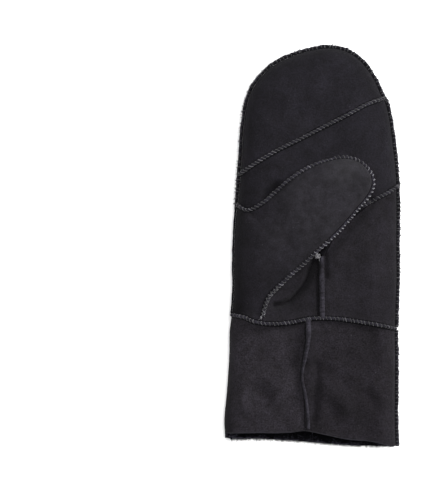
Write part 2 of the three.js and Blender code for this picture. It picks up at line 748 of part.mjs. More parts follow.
// Skins: surface, cells along and across it, way out, insets from the neighbours, edges, look
const PANELS = named(['name', 'map', 'cellsU', 'cellsV', 'side', 'insets', 'options', 'colour'], [
  ['palm_tip_panel', onPalm(tipRegion), 26, 8, 1, [2, 2, half, 0], palm, SUEDE],
  ['palm_middle_panel', onPalm(eased(middleRegion, halfTurn)), 24, 6, 1, [0, 0, half, half], palm, SUEDE],
  ['palm_lower_panel', onPalm(eased(lowerRegion, quarterTurn)), 10, 12, 1, [half, 0, half, half],
    palm, SUEDE],
  ['thumb_front_panel', thumbFront, 28, 10, -1, [half, 0, 0, half], frontEdges, THUMB_SUEDE],
  ['thumb_back_panel', thumbBack, 18, 8, 1, [half, 0, 0, 0], backEdges, SUEDE],
  ['gusset_panel', gusset, 12, 7, -1, [half, 0, half, half], gussetEdges, SUEDE],
  ['hand_back_panel', handBack, 18, 18, -1, [0, 0, half, 0], back, SUEDE],
  ['cuff_wrap_panel', cuffWrap, 32, 10, 1, [half, 0, half, 0], cuffSides, SUEDE],
  ['cuff_palm_panel', cuffPalm, 9, 10, -1, [half, 0, half, 0], cuffTop, SUEDE],
  ['wool_lining', wool, 32, 4, -1, [0, 0, 0, 0], pile, PILE],
]);
for (const { name, map, cellsU, cellsV, side, insets, options, colour } of PANELS) {
  piece(name, skin(map, cellsU, cellsV, side, insets, options), colour, 0.95);
}

// Seams: path, the share of it where the ridge starts and ends, stations along it
const SEAMS = named(['name', 'path', 'from', 'to', 'stations', 'height', 'closed'], [
  ['tip_seam', palmSeam((s) => tipSeam.getPoint(s)), 0.03, 0.97, 24, overcast, false],
  ['middle_seam', palmSeam((s) => middleSeam.getPoint(s)), 0.62, 0.96, 12, overcast, false],
  ['heel_seam', palmSeam(heelPoint), 0.05, 0.92, 10, overcast, false],
  ['thumb_seam', thumbSeamPath, 0, 1, 64, overcast, false],
  ['wrist_seam', wristSeamPath, 0, 1, 64, overcast, true],
  ['cuff_seam', palmSeam((s) => cuffSeam.getPoint(s)), 0.05, 0.97, 18, overcast, false],
  ['cuff_side_seam', alongSide(cuffSideSpan), 0, 1, 12, overcast, false],
  ['side_seam', alongSide(sideSpan), 0, 1, 74, sideSeamHeight, false],
]);
for (const { name, path, from, to, stations, height, closed } of SEAMS) {
  piece(name, ridge((share) => path(lerp(from, to, share)), stations, height, closed), THREAD, 0.9);
}

// Origin in the middle of the footprint, on the floor
const box = new THREE.Box3().setFromObject(object);
const middle = box.getCenter(new THREE.Vector3());
for (const mesh of object.children) mesh.geometry.translate(-middle.x, -middle.y, -box.min.z);

export default object;
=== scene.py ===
import math
import bpy
import numpy as np
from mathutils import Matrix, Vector


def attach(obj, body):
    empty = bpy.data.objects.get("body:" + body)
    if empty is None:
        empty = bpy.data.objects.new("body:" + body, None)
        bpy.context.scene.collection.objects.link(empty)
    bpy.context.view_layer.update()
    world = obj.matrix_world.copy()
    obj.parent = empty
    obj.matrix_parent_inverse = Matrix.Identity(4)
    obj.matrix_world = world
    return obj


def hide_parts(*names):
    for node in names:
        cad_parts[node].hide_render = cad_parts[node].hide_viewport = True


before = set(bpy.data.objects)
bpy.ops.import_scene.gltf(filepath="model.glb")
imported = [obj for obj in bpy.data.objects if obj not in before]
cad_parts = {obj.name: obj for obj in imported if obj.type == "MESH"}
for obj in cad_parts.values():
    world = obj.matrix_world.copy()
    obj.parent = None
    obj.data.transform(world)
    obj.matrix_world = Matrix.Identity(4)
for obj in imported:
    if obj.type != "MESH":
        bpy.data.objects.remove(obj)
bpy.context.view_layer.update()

# Sizes in millimetres, as in the part's source
LENGTH = 308.5
HALF_WIDTH = 63.0
THICKNESS = 29.0
SKIN = 2.0
GAP = 0.3
SEAM_HEIGHT = 2.6
SEAM_WIDTH = 3.2
FOLD_HEIGHT = 1.2
THUMB_LIFT = 8.0
THUMB_BULGE = 8.0
GUSSET_DEPTH = 5.0
WOOL = 4.0
WOOL_DEPTH = 42.0
WOOL_INSET = 1.5
EDGE = 0.42 * THICKNESS
ROLL = 0.85 * THICKNESS
THUMB_ROLL = 0.9 * THUMB_LIFT
UNDER_THUMB = 2 * GAP
SEAM_RELIEF = SEAM_HEIGHT + 2 * GAP
RELIEF_REACH = 5 * SEAM_WIDTH
TIP_CLOSING = GAP / 6
THUMB_START = 7.6 / 15
GUSSET_END = 7 / 15
SIDE_ROWS = 5
ORIGIN = np.array([-0.931, 155.610, -0.15])     # footprint's middle, before the part is centred
STITCH = 3.0                                   # one overcast stitch to the next

# Outline and seams: across as a share of HALF_WIDTH, along as one of LENGTH
OUTLINE = np.array([
    [-1.085, -0.060], [-1.089, 0.031], [-1.097, 0.067], [-1.064, 0.142], [-1.036, 0.230],
    [-1.030, 0.293], [-1.002, 0.335], [-0.978, 0.393], [-0.981, 0.456], [-0.973, 0.524],
    [-0.958, 0.572], [-0.934, 0.609], [-0.908, 0.657], [-0.884, 0.720], [-0.861, 0.790],
    [-0.824, 0.850], [-0.753, 0.895], [-0.643, 0.928], [-0.496, 0.956], [-0.301, 0.977],
    [-0.055, 0.993], [0.178, 1.000], [0.400, 0.992], [0.565, 0.970], [0.700, 0.936],
    [0.785, 0.903], [0.836, 0.879], [0.884, 0.861], [0.930, 0.822], [0.974, 0.757],
    [1.012, 0.682], [1.021, 0.607], [1.019, 0.506], [1.021, 0.418], [1.008, 0.343],
    [1.000, 0.293], [1.003, 0.230], [1.001, 0.142], [0.999, 0.067], [1.008, 0.006],
    [1.008, -0.060]])
CROWN = np.array([
    [-0.060, 0.80], [0.040, 0.83], [0.160, 0.90], [0.318, 0.91],
    [0.450, 1.00], [0.650, 1.00], [0.850, 0.97], [1.000, 0.90]])
TIP_SEAM = [
    [-0.897, 0.683], [-0.726, 0.708], [-0.444, 0.743], [-0.155, 0.772],
    [0.126, 0.802], [0.398, 0.830], [0.646, 0.857], [0.879, 0.876]]
MIDDLE_SEAM = [
    [0.087, 0.476], [0.232, 0.533], [0.420, 0.573], [0.677, 0.613], [0.886, 0.636], [1.018, 0.653]]
WRIST_SEAM = [
    [-1.010, 0.331], [-0.858, 0.326], [-0.726, 0.315], [-0.509, 0.310], [-0.275, 0.314],
    [-0.042, 0.323], [0.258, 0.323], [0.569, 0.314], [0.806, 0.306], [1.001, 0.296]]
CUFF_SEAM = [
    [-0.064, 0.322], [-0.064, 0.274], [-0.103, 0.227], [-0.143, 0.178],
    [-0.101, 0.131], [-0.073, 0.085], [-0.062, 0.044]]
PALM_HEM = [
    [-1.089, 0.033], [-0.960, 0.037], [-0.610, 0.039], [-0.298, 0.039], [-0.064, 0.044],
    [0.143, 0.036], [0.416, 0.023], [0.729, 0.017], [0.925, 0.007], [1.008, 0.002]]
BACK_HEM = [
    [-1.089, 0.033], [-0.995, 0.021], [-0.602, 0.017], [-0.247, 0.013], [0.159, 0.006],
    [0.436, 0.001], [0.712, 0.000], [0.922, 0.000], [1.008, 0.002]]
# outer across, outer along, inner across, inner along, outer lift, inner lift, bulge
THUMB_RIBS = np.array([
    [-1.004, 0.331, -0.640, 0.312, 0, 0.00, 0.00],
    [-0.979, 0.385, -0.603, 0.350, 0, 0.20, 0.12],
    [-0.981, 0.456, -0.555, 0.377, 0, 0.35, 0.25],
    [-0.974, 0.520, -0.490, 0.393, 0, 0.48, 0.38],
    [-0.956, 0.572, -0.420, 0.408, 0, 0.58, 0.48],
    [-0.932, 0.607, -0.334, 0.425, 0, 0.68, 0.55],
    [-0.815, 0.593, -0.150, 0.457, 0, 0.85, 0.65],
    [-0.620, 0.612, 0.030, 0.490, 0.38, 1.00, 0.80],
    [-0.460, 0.640, 0.170, 0.516, 0.78, 1.00, 0.92],
    [-0.340, 0.663, 0.290, 0.540, 0.97, 1.00, 1.00],
    [-0.120, 0.695, 0.410, 0.567, 1.00, 1.00, 1.00],
    [0.105, 0.715, 0.510, 0.592, 1.00, 1.00, 1.00],
    [0.349, 0.725, 0.610, 0.616, 1.00, 1.00, 0.98],
    [0.515, 0.717, 0.672, 0.636, 1.00, 1.00, 0.85],
    [0.615, 0.700, 0.698, 0.654, 1.00, 1.00, 0.60],
    [0.655, 0.688, 0.690, 0.672, 1.00, 1.00, 0.15]])
LAST_RIB = len(THUMB_RIBS) - 1
GUSSET_FOLD = np.array([[0.00, 0.00], [0.20, 0.55], [0.45, 1.00], [0.80, 0.90], [1.00, 0.30]])


def scaled(rows):
    return np.asarray(rows, float) * [HALF_WIDTH, LENGTH]


def mix(a, b, share):
    return a + (b - a) * share


class Curve:
    """Centripetal Catmull-Rom curve through its points."""

    def __init__(self, points):
        self.points = np.asarray(points, float)

    def __call__(self, share):
        p = self.points
        share = np.clip(np.asarray(share, float), 0, 1)
        place = share * (len(p) - 1)
        i = np.minimum(place.astype(int), len(p) - 2)
        w = (place - i)[..., None]
        full = np.vstack([2 * p[0] - p[1], p, 2 * p[-1] - p[-2]])
        p0, p1, p2, p3 = full[i], full[i + 1], full[i + 2], full[i + 3]
        span = lambda a, b: (((a - b) ** 2).sum(-1) ** 0.25)[..., None]
        d0, d1, d2 = span(p0, p1), span(p1, p2), span(p2, p3)
        t1 = ((p1 - p0) / d0 - (p2 - p0) / (d0 + d1) + (p2 - p1) / d1) * d1
        t2 = ((p2 - p1) / d1 - (p3 - p1) / (d1 + d2) + (p3 - p2) / d2) * d1
        c2 = -3 * p1 + 3 * p2 - 2 * t1 - t2
        c3 = 2 * p1 - 2 * p2 + t1 + t2
        return p1 + t1 * w + c2 * w ** 2 + c3 * w ** 3


outline = Curve(scaled(OUTLINE))
SIDE_STEPS = 400
side_points = outline(np.linspace(0, 1, SIDE_STEPS + 1))
AT_ONCE = 4000         # points measured against a line at one time
HALVINGS = 30


def nearest_run(xy, line):
    """For each point the way from the nearest place of a polyline, the run it is on, and its place."""
    flat = xy.reshape(-1, 2)
    a = line[:-1]
    d = line[1:] - a
    long = (d ** 2).sum(-1)
    away, run, place = np.empty((len(flat), 2)), np.empty((len(flat), 2)), np.empty(len(flat))
    for start in range(0, len(flat), AT_ONCE):
        part = slice(start, start + AT_ONCE)
        p = flat[part, None, :] - a[None]
        s = np.clip((p * d).sum(-1) / long, 0, 1)
        q = p - s[..., None] * d
        k = (q ** 2).sum(-1).argmin(1)
        rows = np.arange(len(k))
        away[part], run[part], place[part] = q[rows, k], d[k], k + s[rows, k]
    return away, run, place


def nearest(xy):
    """Distance in from the outline, the way in, and the share of the nearest place."""
    xy = np.asarray(xy, float)
    away, run, place = nearest_run(xy, side_points)
    step = np.hypot(run[:, 0], run[:, 1])
    inside = (away[:, 0] * run[:, 1] - away[:, 1] * run[:, 0]) / step
    way = np.stack([run[:, 1], -run[:, 0]], -1) / step[:, None]
    shape = xy.shape[:-1]
    return inside.reshape(shape), way.reshape(shape + (2,)), (place / SIDE_STEPS).reshape(shape)


def beside_line(xy, line):
    """Distance to a polyline in plan, positive on its right."""
    away, run, _ = nearest_run(xy, line)
    right = away[:, 0] * run[:, 1] >= away[:, 1] * run[:, 0]
    return (np.hypot(away[:, 0], away[:, 1]) * np.where(right, 1, -1)).reshape(xy.shape[:-1])


def smooth_table(table, place):
    i = np.clip(np.searchsorted(table[:, 0], place, side="right") - 1, 0, len(table) - 2)
    share = np.clip((place - table[i, 0]) / (table[i + 1, 0] - table[i, 0]), 0, 1)
    return mix(table[i, 1], table[i + 1, 1], share * share * (3 - 2 * share))


def outline_share(point):
    return float(nearest(np.asarray(point, float)[:2])[2])


fingertips = side_points[side_points[:, 1].argmax()]
TIP_SHARE = outline_share(fingertips)


def halve(short, low, high):
    """The place between low and high up to which short() holds."""
    for _ in range(HALVINGS):
        middle = (low + high) / 2
        below = short(middle)
        low = np.where(below, middle, low)
        high = np.where(below, high, middle)
    return low


def side_share(y, thumb_side):
    y = np.asarray(y, float)
    start = np.full(y.shape, 0.0 if thumb_side else 1.0)
    return halve(lambda share: outline(share)[..., 1] < y, start, np.full(y.shape, TIP_SHARE))


def side_x(y, thumb_side):
    return outline(side_share(y, thumb_side))[..., 0]


def seam_curve(rows, start_on_side, end_on_side):
    points = scaled(rows)
    if start_on_side:
        points[0] = outline(outline_share(points[0]))
    if end_on_side:
        points[-1] = outline(outline_share(points[-1]))
    return Curve(points)


tip_seam = seam_curve(TIP_SEAM, True, True)
middle_seam = seam_curve(MIDDLE_SEAM, False, True)
wrist_seam = seam_curve(WRIST_SEAM, True, True)
cuff_seam = seam_curve(CUFF_SEAM, False, False)
palm_hem = seam_curve(PALM_HEM, True, True)
back_hem = seam_curve(BACK_HEM, True, True)


def seam_share(curve, x):
    x = np.asarray(x, float)
    return halve(lambda share: curve(share)[..., 0] < x, np.zeros(x.shape), np.ones(x.shape))


def seam_y(curve, x):
    return curve(seam_share(curve, x))[..., 1]


# Soft relief that the plain solids leave out
WAVES = 14             # sines that make one soft noise


def waves(xy, size, seed):
    """Smooth noise of unit height from sines of about one size in all directions."""
    source = np.random.default_rng(seed)
    total = np.zeros(xy.shape[:-1])
    for _ in range(WAVES):
        angle, phase = source.uniform(0, 2 * math.pi, 2)
        length = size * source.uniform(0.7, 1.5)
        along = xy[..., 0] * math.cos(angle) + xy[..., 1] * math.sin(angle)
        total += np.sin(2 * math.pi / length * along + phase)
    return total / math.sqrt(WAVES / 2)


# Folds, dents and bulges of the palm side: from, to, reach and height, mm before centring
FOLDS = np.array([
    [-41.5, 42.0, -40.0, 40.5, 8.6, -6.0],      # cuff, thumb side: one round dent
    [-56.0, 35.5, -53.0, 32.0, 6.0, 3.4],
    [-24.0, 44.0, -38.0, 28.0, 4.0, 1.0],
    [-50.0, 68.0, -34.0, 63.0, 7.0, -1.0],
    [2.2, 63.0, -0.2, 22.0, 3.6, -3.4],         # cuff, beside its seam
    [-3.0, 90.0, -4.0, 70.0, 5.0, 3.0],
    [15.5, 42.5, 23.5, 33.5, 6.6, 4.2],
    [11.0, 34.0, 17.0, 26.0, 4.0, -0.8],
    [47.5, 46.0, 55.0, 36.0, 4.6, 2.2],
    [40.0, 40.0, 46.0, 31.0, 3.6, -1.4],
    [10.0, 60.0, 9.0, 57.0, 3.6, -1.6],
    [4.4, 93.8, 12.1, 77.0, 3.0, -0.8],         # gathers below the wrist seam
    [-4.0, 18.0, -3.0, 10.0, 6.0, -1.4],        # hem pulled in at the seam's foot
    [30.0, 78.0, 42.0, 66.0, 7.0, 1.2],
    [-35.0, 196.5, -29.0, 201.0, 3.8, -6.5],    # pocket above the root of the thumb
    [-52.0, 226.0, -20.0, 238.0, 10.0, 0.9],
    [9.0, 151.0, 42.0, 189.0, 4.8, -4.0],       # palm under the thumb's free edge
    [44.0, 190.0, 58.0, 196.0, 5.0, -2.2],
    [8.6, 148.0, 9.0, 131.0, 1.5, -2.2],        # beside the heel seam's top
    [24.0, 130.0, 30.0, 104.0, 8.0, -0.9],
    [-56.0, 101.3, -40.0, 96.2, 3.8, 2.2],      # skin that rises to the wrist seam on the thumb side
    [-36.0, 95.8, -12.0, 97.4, 3.8, 1.6],
    [44.0, 146.0, 48.0, 112.0, 8.0, 1.2],
])
CUFF_TOP = 100.0
CUFF_EASE = 16.0
CUFF_CRISP = 0.42      # the cuff's sides are rolled tighter than the hand's
UNEVEN = ((0.55, 52, 3), (0.22, 19, 4))        # the skins' soft waves: height, size and seed
CUFF_UNEVEN = 0.8
CALM = 0.8             # share of the rolled side over which folds die out
SWELL_REACH = 4.5      # skins beside a seam
DIP_REACH = 2.8
STEP_FADE = 13.0
TOP_FADE = 4.0
SEAM_CALM = 9.0
SEAM_LEAST = 0.12


def on_cuff(xy):
    return np.clip((CUFF_TOP - xy[..., 1]) / CUFF_EASE, 0, 1)


def palm_roll(xy):
    return ROLL * (1 - CUFF_CRISP * on_cuff(xy))


def palm_detail(xy):
    inside, _, _ = nearest(xy)
    flat = np.clip(inside / (CALM * palm_roll(xy)), 0, 1) ** 1.5
    relief = sum(height * waves(xy, size, seed) for height, size, seed in UNEVEN)
    relief = relief * (1 + CUFF_UNEVEN * on_cuff(xy))
    for x0, y0, x1, y1, reach, height in FOLDS:
        away = beside_line(xy, np.array([[x0, y0], [x1, y1]]))
        relief = relief + height * np.exp(-(away / reach) ** 2)
    drawn = np.zeros(xy.shape[:-1])
    for line, step, reach, swell, dip, top in PALM_LINES:
        away = beside_line(xy, line)
        past = np.maximum(away, 0)
        below = np.clip((top - xy[..., 1]) / TOP_FADE, 0, 1)
        drawn = drawn - below * step * (1 - np.exp(-(past / reach) ** 2)) * np.exp(-past / STEP_FADE)
        drawn = drawn + swell * np.exp(-(away / SWELL_REACH) ** 2)
        drawn = drawn - dip * np.exp(-(away / DIP_REACH) ** 2)
    return flat * relief + drawn * np.clip(inside / SEAM_CALM, SEAM_LEAST, 1)


def rounding(inside, roll):
    rest = 1 - np.clip(inside / roll, 0, 1)
    return np.sqrt(1 - rest * rest)


def palm_height(xy):
    crown = THICKNESS * smooth_table(CROWN, xy[..., 1] / LENGTH)
    return mix(EDGE, crown, rounding(nearest(xy)[0], palm_roll(xy))) + palm_detail(xy)


def back_height(xy):
    round_ = rounding(nearest(xy)[0], ROLL)
    beside = np.maximum(0, np.abs(xy[..., 1] - seam_y(wrist_seam, xy[..., 0])) - SEAM_WIDTH / 2 - GAP)
    off = beside / RELIEF_REACH
    relief = np.where(off < 1, SEAM_RELIEF * (1 + np.cos(math.pi * np.minimum(off, 1))) / 2, 0)
    return EDGE * (1 - round_) + relief * round_ * round_


def body_normal(xy, on_back):
    inside, way, _ = nearest(xy)
    rest = 1 - np.clip(inside / ROLL, 0, 1)
    rise = EDGE if on_back else THICKNESS - EDGE
    upright = np.sqrt(1 - rest * rest) / rise * (-1 if on_back else 1)
    normal = np.concatenate([-way * (rest / ROLL)[..., None], upright[..., None]], -1)
    return unit(normal)


def wrist_x(share):
    return mix(wrist_seam(0.0)[0], wrist_seam(1.0)[0], share)


def side_to_side(y, share):
    return np.stack([mix(side_x(y, True), side_x(y, False), share), y], -1)


def skin_normal(xy, on_back):
    return np.where(on_back[..., None], body_normal(xy, True), body_normal(xy, False))


def at_height(xy, z):
    return np.concatenate([xy, np.asarray(z)[..., None]], -1)


# Heel and thumb
rib_side = Curve(scaled(THUMB_RIBS[:SIDE_ROWS + 1, 0:2]))
rib_upper = Curve(scaled(THUMB_RIBS[SIDE_ROWS:, 0:2]))
rib_lower = Curve(scaled(THUMB_RIBS[:, 2:4]))
OUTER_LIFT, INNER_LIFT, BULGE = 4, 5, 6        # columns of THUMB_RIBS
THUMB_UNEVEN = (0.35, 30, 8)


def rib_value(column, u):
    return np.interp(np.clip(u, 0, 1) * LAST_RIB, np.arange(LAST_RIB + 1), THUMB_RIBS[:, column])


def stitch_outer(u):
    u = np.asarray(u, float)
    place = u * LAST_RIB
    side = rib_side(np.clip(place / SIDE_ROWS, 0, 1))
    side = outline(nearest(side)[2])
    upper = rib_upper(np.clip((place - SIDE_ROWS) / (LAST_RIB - SIDE_ROWS), 0, 1))
    return np.where((place <= SIDE_ROWS)[..., None], side, upper)


def unit(v):
    return v / np.maximum(np.linalg.norm(v, axis=-1, keepdims=True), 1e-9)


def rib_ends(u):
    outer = stitch_outer(u)
    inner = rib_lower(u)
    across = unit(inner - outer)
    back = SEAM_HEIGHT / 2 + GAP
    return (outer + across * (back * rib_value(OUTER_LIFT, u))[..., None],
            inner - across * (back * rib_value(INNER_LIFT, u))[..., None])


def rib_plan(u, t):
    outer, inner = rib_ends(u)
    point = mix(outer, inner, t[..., None])
    to_wrist = 1 - np.clip(u * LAST_RIB, 0, 1)
    foot_outer, foot_inner = rib_ends(np.zeros(1))
    straight = mix(foot_outer, foot_inner, t[..., None])
    point[..., 1] += to_wrist * (seam_y(wrist_seam, straight[..., 0]) - straight[..., 1])
    return point


def half_turn(v):
    return (1 - np.cos(math.pi * v)) / 2


def quarter_turn(v):
    return np.sin(math.pi * v / 2)


def thumb_front(u, v):
    t = half_turn(v)
    xy = rib_plan(u, t)
    lift = mix(rib_value(OUTER_LIFT, u), rib_value(INNER_LIFT, u), t * t * (3 - 2 * t))
    swell = mix((1 - np.cos(2 * math.pi * t)) / 2, np.sin(math.pi * v), np.minimum(1, lift))
    bulge = rib_value(BULGE, u) * THUMB_BULGE * swell
    height, size, seed = THUMB_UNEVEN
    soft = height * waves(xy, size, seed) * np.sin(math.pi * v) * np.clip(u * 3, 0, 1)
    return at_height(xy, palm_height(xy) + lift * THUMB_LIFT + bulge + soft + GAP / 2)


def fall(away, reach):
    rest = 1 - np.clip(away / reach, 0, 1)
    return 1 - np.sqrt(1 - rest * rest)


def thumb_back(share, v):
    u = mix(THUMB_START, 1.0, share)
    t = half_turn(v)
    xy = rib_plan(u, t)
    outer, inner = rib_ends(u)
    width = np.linalg.norm(outer - inner, axis=-1)
    reach = np.minimum(THUMB_ROLL, width / 2)
    outer_rise = np.maximum(0, rib_value(OUTER_LIFT, u) * THUMB_LIFT - UNDER_THUMB - GAP / 2)
    inner_rise = np.maximum(0, rib_value(INNER_LIFT, u) * THUMB_LIFT - UNDER_THUMB - GAP / 2)
    rise = UNDER_THUMB + outer_rise * fall(t * width, reach) + inner_rise * fall((1 - t) * width, reach)
    return at_height(xy, palm_height(xy) + rise)


heel_top = middle_seam(0.0)
heel_foot = np.array([heel_top[0] + 0.012 * HALF_WIDTH, 0.0])
heel_foot[1] = seam_y(wrist_seam, heel_foot[0])


def heel_point(share):
    return mix(heel_foot, heel_top, np.asarray(share, float)[..., None])


# Sharp fold of the gusset, from the crotch of the thumb to the wrist, mm before centring
GUSSET_CREASE = np.array([
    [-0.3, 143.1], [-5.6, 128.5], [-9.0, 123.4], [-13.3, 118.5],
    [-18.7, 113.1], [-24.6, 110.4], [-30.2, 109.3]])
CREASE_SHAPE = ((7.0, 2.1), (1.0, 3.4))        # depth and reach, added up
CREASE_ENDS = (0.06, 0.1)                      # shares over which it starts and ends
HEEL_TRENCH = 3.8      # deep gap between the gusset and the heel seam: depth at the top
TRENCH_OFF = 3.1       # from the gusset's edge
TRENCH_REACH = 1.35
TRENCH_FOOT = 0.35     # share of its depth that is left at the wrist


def gusset(share, v):
    u = GUSSET_END * share
    inner = rib_ends(u)[1]
    foot = rib_ends(np.zeros(1))[1]
    far = heel_point(share)
    xy = mix(inner, far, v[..., None])
    to_wrist = 1 - np.clip(share * 5, 0, 1)
    straight = mix(foot, heel_foot, v[..., None])
    xy[..., 1] += to_wrist * (seam_y(wrist_seam, straight[..., 0]) - straight[..., 1])
    width = np.linalg.norm(inner - far, axis=-1)
    reach = np.minimum(THUMB_ROLL, width / 2)
    depth = GUSSET_DEPTH * smooth_table(GUSSET_FOLD, share)
    valley = np.sin(math.pi * v ** 0.7) ** 1.2
    away = beside_line(xy, GUSSET_CREASE)
    ends_off = np.clip(share / CREASE_ENDS[0], 0, 1) * np.clip((1.04 - share) / CREASE_ENDS[1], 0, 1)
    crease = sum(deep * np.exp(-(away / wide) ** 2) for deep, wide in CREASE_SHAPE) * ends_off
    beside = (1 - v) * width - TRENCH_OFF
    trench = HEEL_TRENCH * mix(TRENCH_FOOT, 1, share ** 1.5)
    crease = crease + trench * np.exp(-(beside / TRENCH_REACH) ** 2)
    rise = (rib_value(INNER_LIFT, u) * THUMB_LIFT - GAP / 2) * fall(v * width, reach)
    return at_height(xy, palm_height(xy) + rise - depth * valley - crease)


# Palm regions
def region(low, high, start, end):
    def plan(u, v):
        u1, v1 = u[..., None], v[..., None]
        zero, one = np.zeros(1), np.ones(1)
        blend = low(u) * (1 - v1) + high(u) * v1 + start(v) * (1 - u1) + end(v) * u1
        corners = low(zero) * (1 - u1) * (1 - v1) + low(one) * u1 * (1 - v1)
        return blend - corners - high(zero) * (1 - u1) * v1 - high(one) * u1 * v1
    return plan


def between(curve, start, end):
    return lambda share: curve(mix(start, end, share))


thumb_root = stitch_outer(np.array(THUMB_START))
hole_foot = rib_lower(THUMB_START)
side_corner = stitch_outer(np.array(SIDE_ROWS / LAST_RIB))
HOLE_START = (thumb_root[0] - side_corner[0]) / (2 * HALF_WIDTH)
HOLE_END = HOLE_START + (hole_foot[0] - thumb_root[0]) / (2 * HALF_WIDTH)
middle_from = float(seam_share(middle_seam, hole_foot[0] + SEAM_WIDTH))


def middle_foot(share):
    share = np.asarray(share, float)
    first = stitch_outer(mix(SIDE_ROWS / LAST_RIB, THUMB_START, np.clip(share / HOLE_START, 0, 1)))
    hole = np.clip((share - HOLE_START) / (HOLE_END - HOLE_START), 0, 1)[..., None]
    second = mix(thumb_root, hole_foot, hole)
    third = middle_seam(mix(middle_from, 1.0, np.clip((share - HOLE_END) / (1 - HOLE_END), 0, 1)))
    s = share[..., None]
    return np.where(s < HOLE_START, first, np.where(s < HOLE_END, second, third))


tip_start = outline_share(tip_seam(0.0))
tip_end = outline_share(tip_seam(1.0))


def tip_region(u, v):
    return mix(tip_seam(u), outline(mix(tip_start, tip_end, u)), quarter_turn(v)[..., None])


middle_region = region(
    middle_foot, between(tip_seam, 0, 1),
    between(outline, outline_share(middle_foot(np.array(0.0))), tip_start),
    between(outline, outline_share(middle_seam(1.0)), tip_end))
lower_region = region(
    between(wrist_seam, float(seam_share(wrist_seam, heel_foot[0])), 1), between(middle_seam, 0, 1),
    heel_point,
    between(outline, outline_share(wrist_seam(1.0)), outline_share(middle_seam(1.0))))


def on_palm(xy):
    return at_height(xy, palm_height(xy) + GAP / 2)


def hand_back(u, v):
    share = half_turn(u)
    up = quarter_turn(v)
    xy = side_to_side(mix(seam_y(wrist_seam, wrist_x(share)), fingertips[1] - TIP_CLOSING, up), share)
    return at_height(xy, back_height(xy) - GAP / 2)


def cuff_plan(share, on_back, down):
    x = wrist_x(share)
    foot = back_hem if on_back else palm_hem
    return side_to_side(mix(seam_y(wrist_seam, x), seam_y(foot, x), down), share)


def cuff_seam_share(down):
    x = cuff_seam(down)[..., 0]
    return (x - wrist_seam(0.0)[0]) / (wrist_seam(1.0)[0] - wrist_seam(0.0)[0])


# Seams that move the skins beside them: line, step down on its right and its reach, swell, dip, and top
ends = np.linspace(0, 1, 40)
PALM_LINES = [
    (tip_seam(ends), 3.2, 3.6, 0.0, 0.4, LENGTH),
    (wrist_seam(ends), 2.6, 3.6, 0.9, 0.1, LENGTH),
    (cuff_seam(ends), 3.6, 3.8, 0.3, 0.3, 98.5),
    (heel_point(ends), 0.0, 1.0, 0.0, 1.1, LENGTH),
    (middle_seam(mix(0.55, 1.0, ends)), 4.0, 3.6, 0.0, 0.4, LENGTH),
    (stitch_outer(mix(SIDE_ROWS / LAST_RIB, THUMB_START, ends)), 0.0, 1.0, 0.0, 1.0, LENGTH)]


# Meshes
def grid(count_u, count_v, u_range=(0, 1), v_range=(0, 1)):
    u = np.linspace(u_range[0], u_range[1], count_u + 1)
    v = np.linspace(v_range[0], v_range[1], count_v + 1)
    return np.meshgrid(u, v, indexing="ij")


def grid_normals(points, side):
    a = np.gradient(points, axis=0)
    b = np.gradient(points, axis=1)
    return side * unit(np.cross(a, b))


def to_metres(points):
    return (np.asarray(points, float) - ORIGIN) / 1000


def mesh_object(name, points, faces, materials, slots=None):
    mesh = bpy.data.meshes.new(name)
    points = to_metres(points).astype(np.float32)
    faces = np.asarray(faces, np.int32)
    corners = faces.shape[1]
    mesh.vertices.add(len(points))
    mesh.vertices.foreach_set("co", points.ravel())
    mesh.loops.add(faces.size)
    mesh.loops.foreach_set("vertex_index", faces.ravel())
    mesh.polygons.add(len(faces))
    mesh.polygons.foreach_set("loop_start", np.arange(0, faces.size, corners, dtype=np.int32))
    mesh.polygons.foreach_set("loop_total", np.full(len(faces), corners, np.int32))
    for material in materials:
        mesh.materials.append(material)
    if slots is not None:
        mesh.polygons.foreach_set("material_index", np.asarray(slots, np.int32))
    mesh.polygons.foreach_set("use_smooth", np.full(len(faces), True))
    mesh.update(calc_edges=True)
    mesh.validate()
    piece = bpy.data.objects.new(name, mesh)
    bpy.context.scene.collection.objects.link(piece)
    return piece


def lattice(rows, columns, start=0, wrap=False):
    i = np.arange(rows - (0 if wrap else 1))
    j = np.arange(columns - 1)
    i, j = np.meshgrid(i, j, indexing="ij")
    a = i * columns + j
    b = ((i + 1) % rows) * columns + j
    return np.stack([a, b, b + 1, a + 1], -1).reshape(-1, 4) + start


def slab(name, outer, inner, side, materials, wrap=False):
    """Skin between two grids: suede outside, pile inside, a cut edge round it."""
    rows, columns = outer.shape[:2]
    points = [outer.reshape(-1, 3), inner.reshape(-1, 3)]
    top = lattice(rows, columns, 0, wrap)
    under = lattice(rows, columns, rows * columns, wrap)[:, ::-1]
    faces = [top, under]
    slots = [np.zeros(len(top)), np.ones(len(under))]
    count = 2 * rows * columns
    rims = [(outer[:, 0], inner[:, 0], 1, wrap), (outer[:, -1], inner[:, -1], -1, wrap)]
    if not wrap:
        rims += [(outer[0], inner[0], -1, False), (outer[-1], inner[-1], 1, False)]
    for high, low, turn, closed in rims:
        n = len(high)
        points += [high, low]
        k = np.arange(n if closed else n - 1)
        m = (k + 1) % n
        quad = np.stack([count + k, count + n + k, count + n + m, count + m], -1)
        faces.append(quad if turn > 0 else quad[:, ::-1])
        slots.append(np.full(len(quad), 2))
        count += 2 * n
    faces = np.concatenate(faces)
    if side < 0:
        faces = faces[:, ::-1]
    return mesh_object(name, np.concatenate(points), faces, materials, np.concatenate(slots))


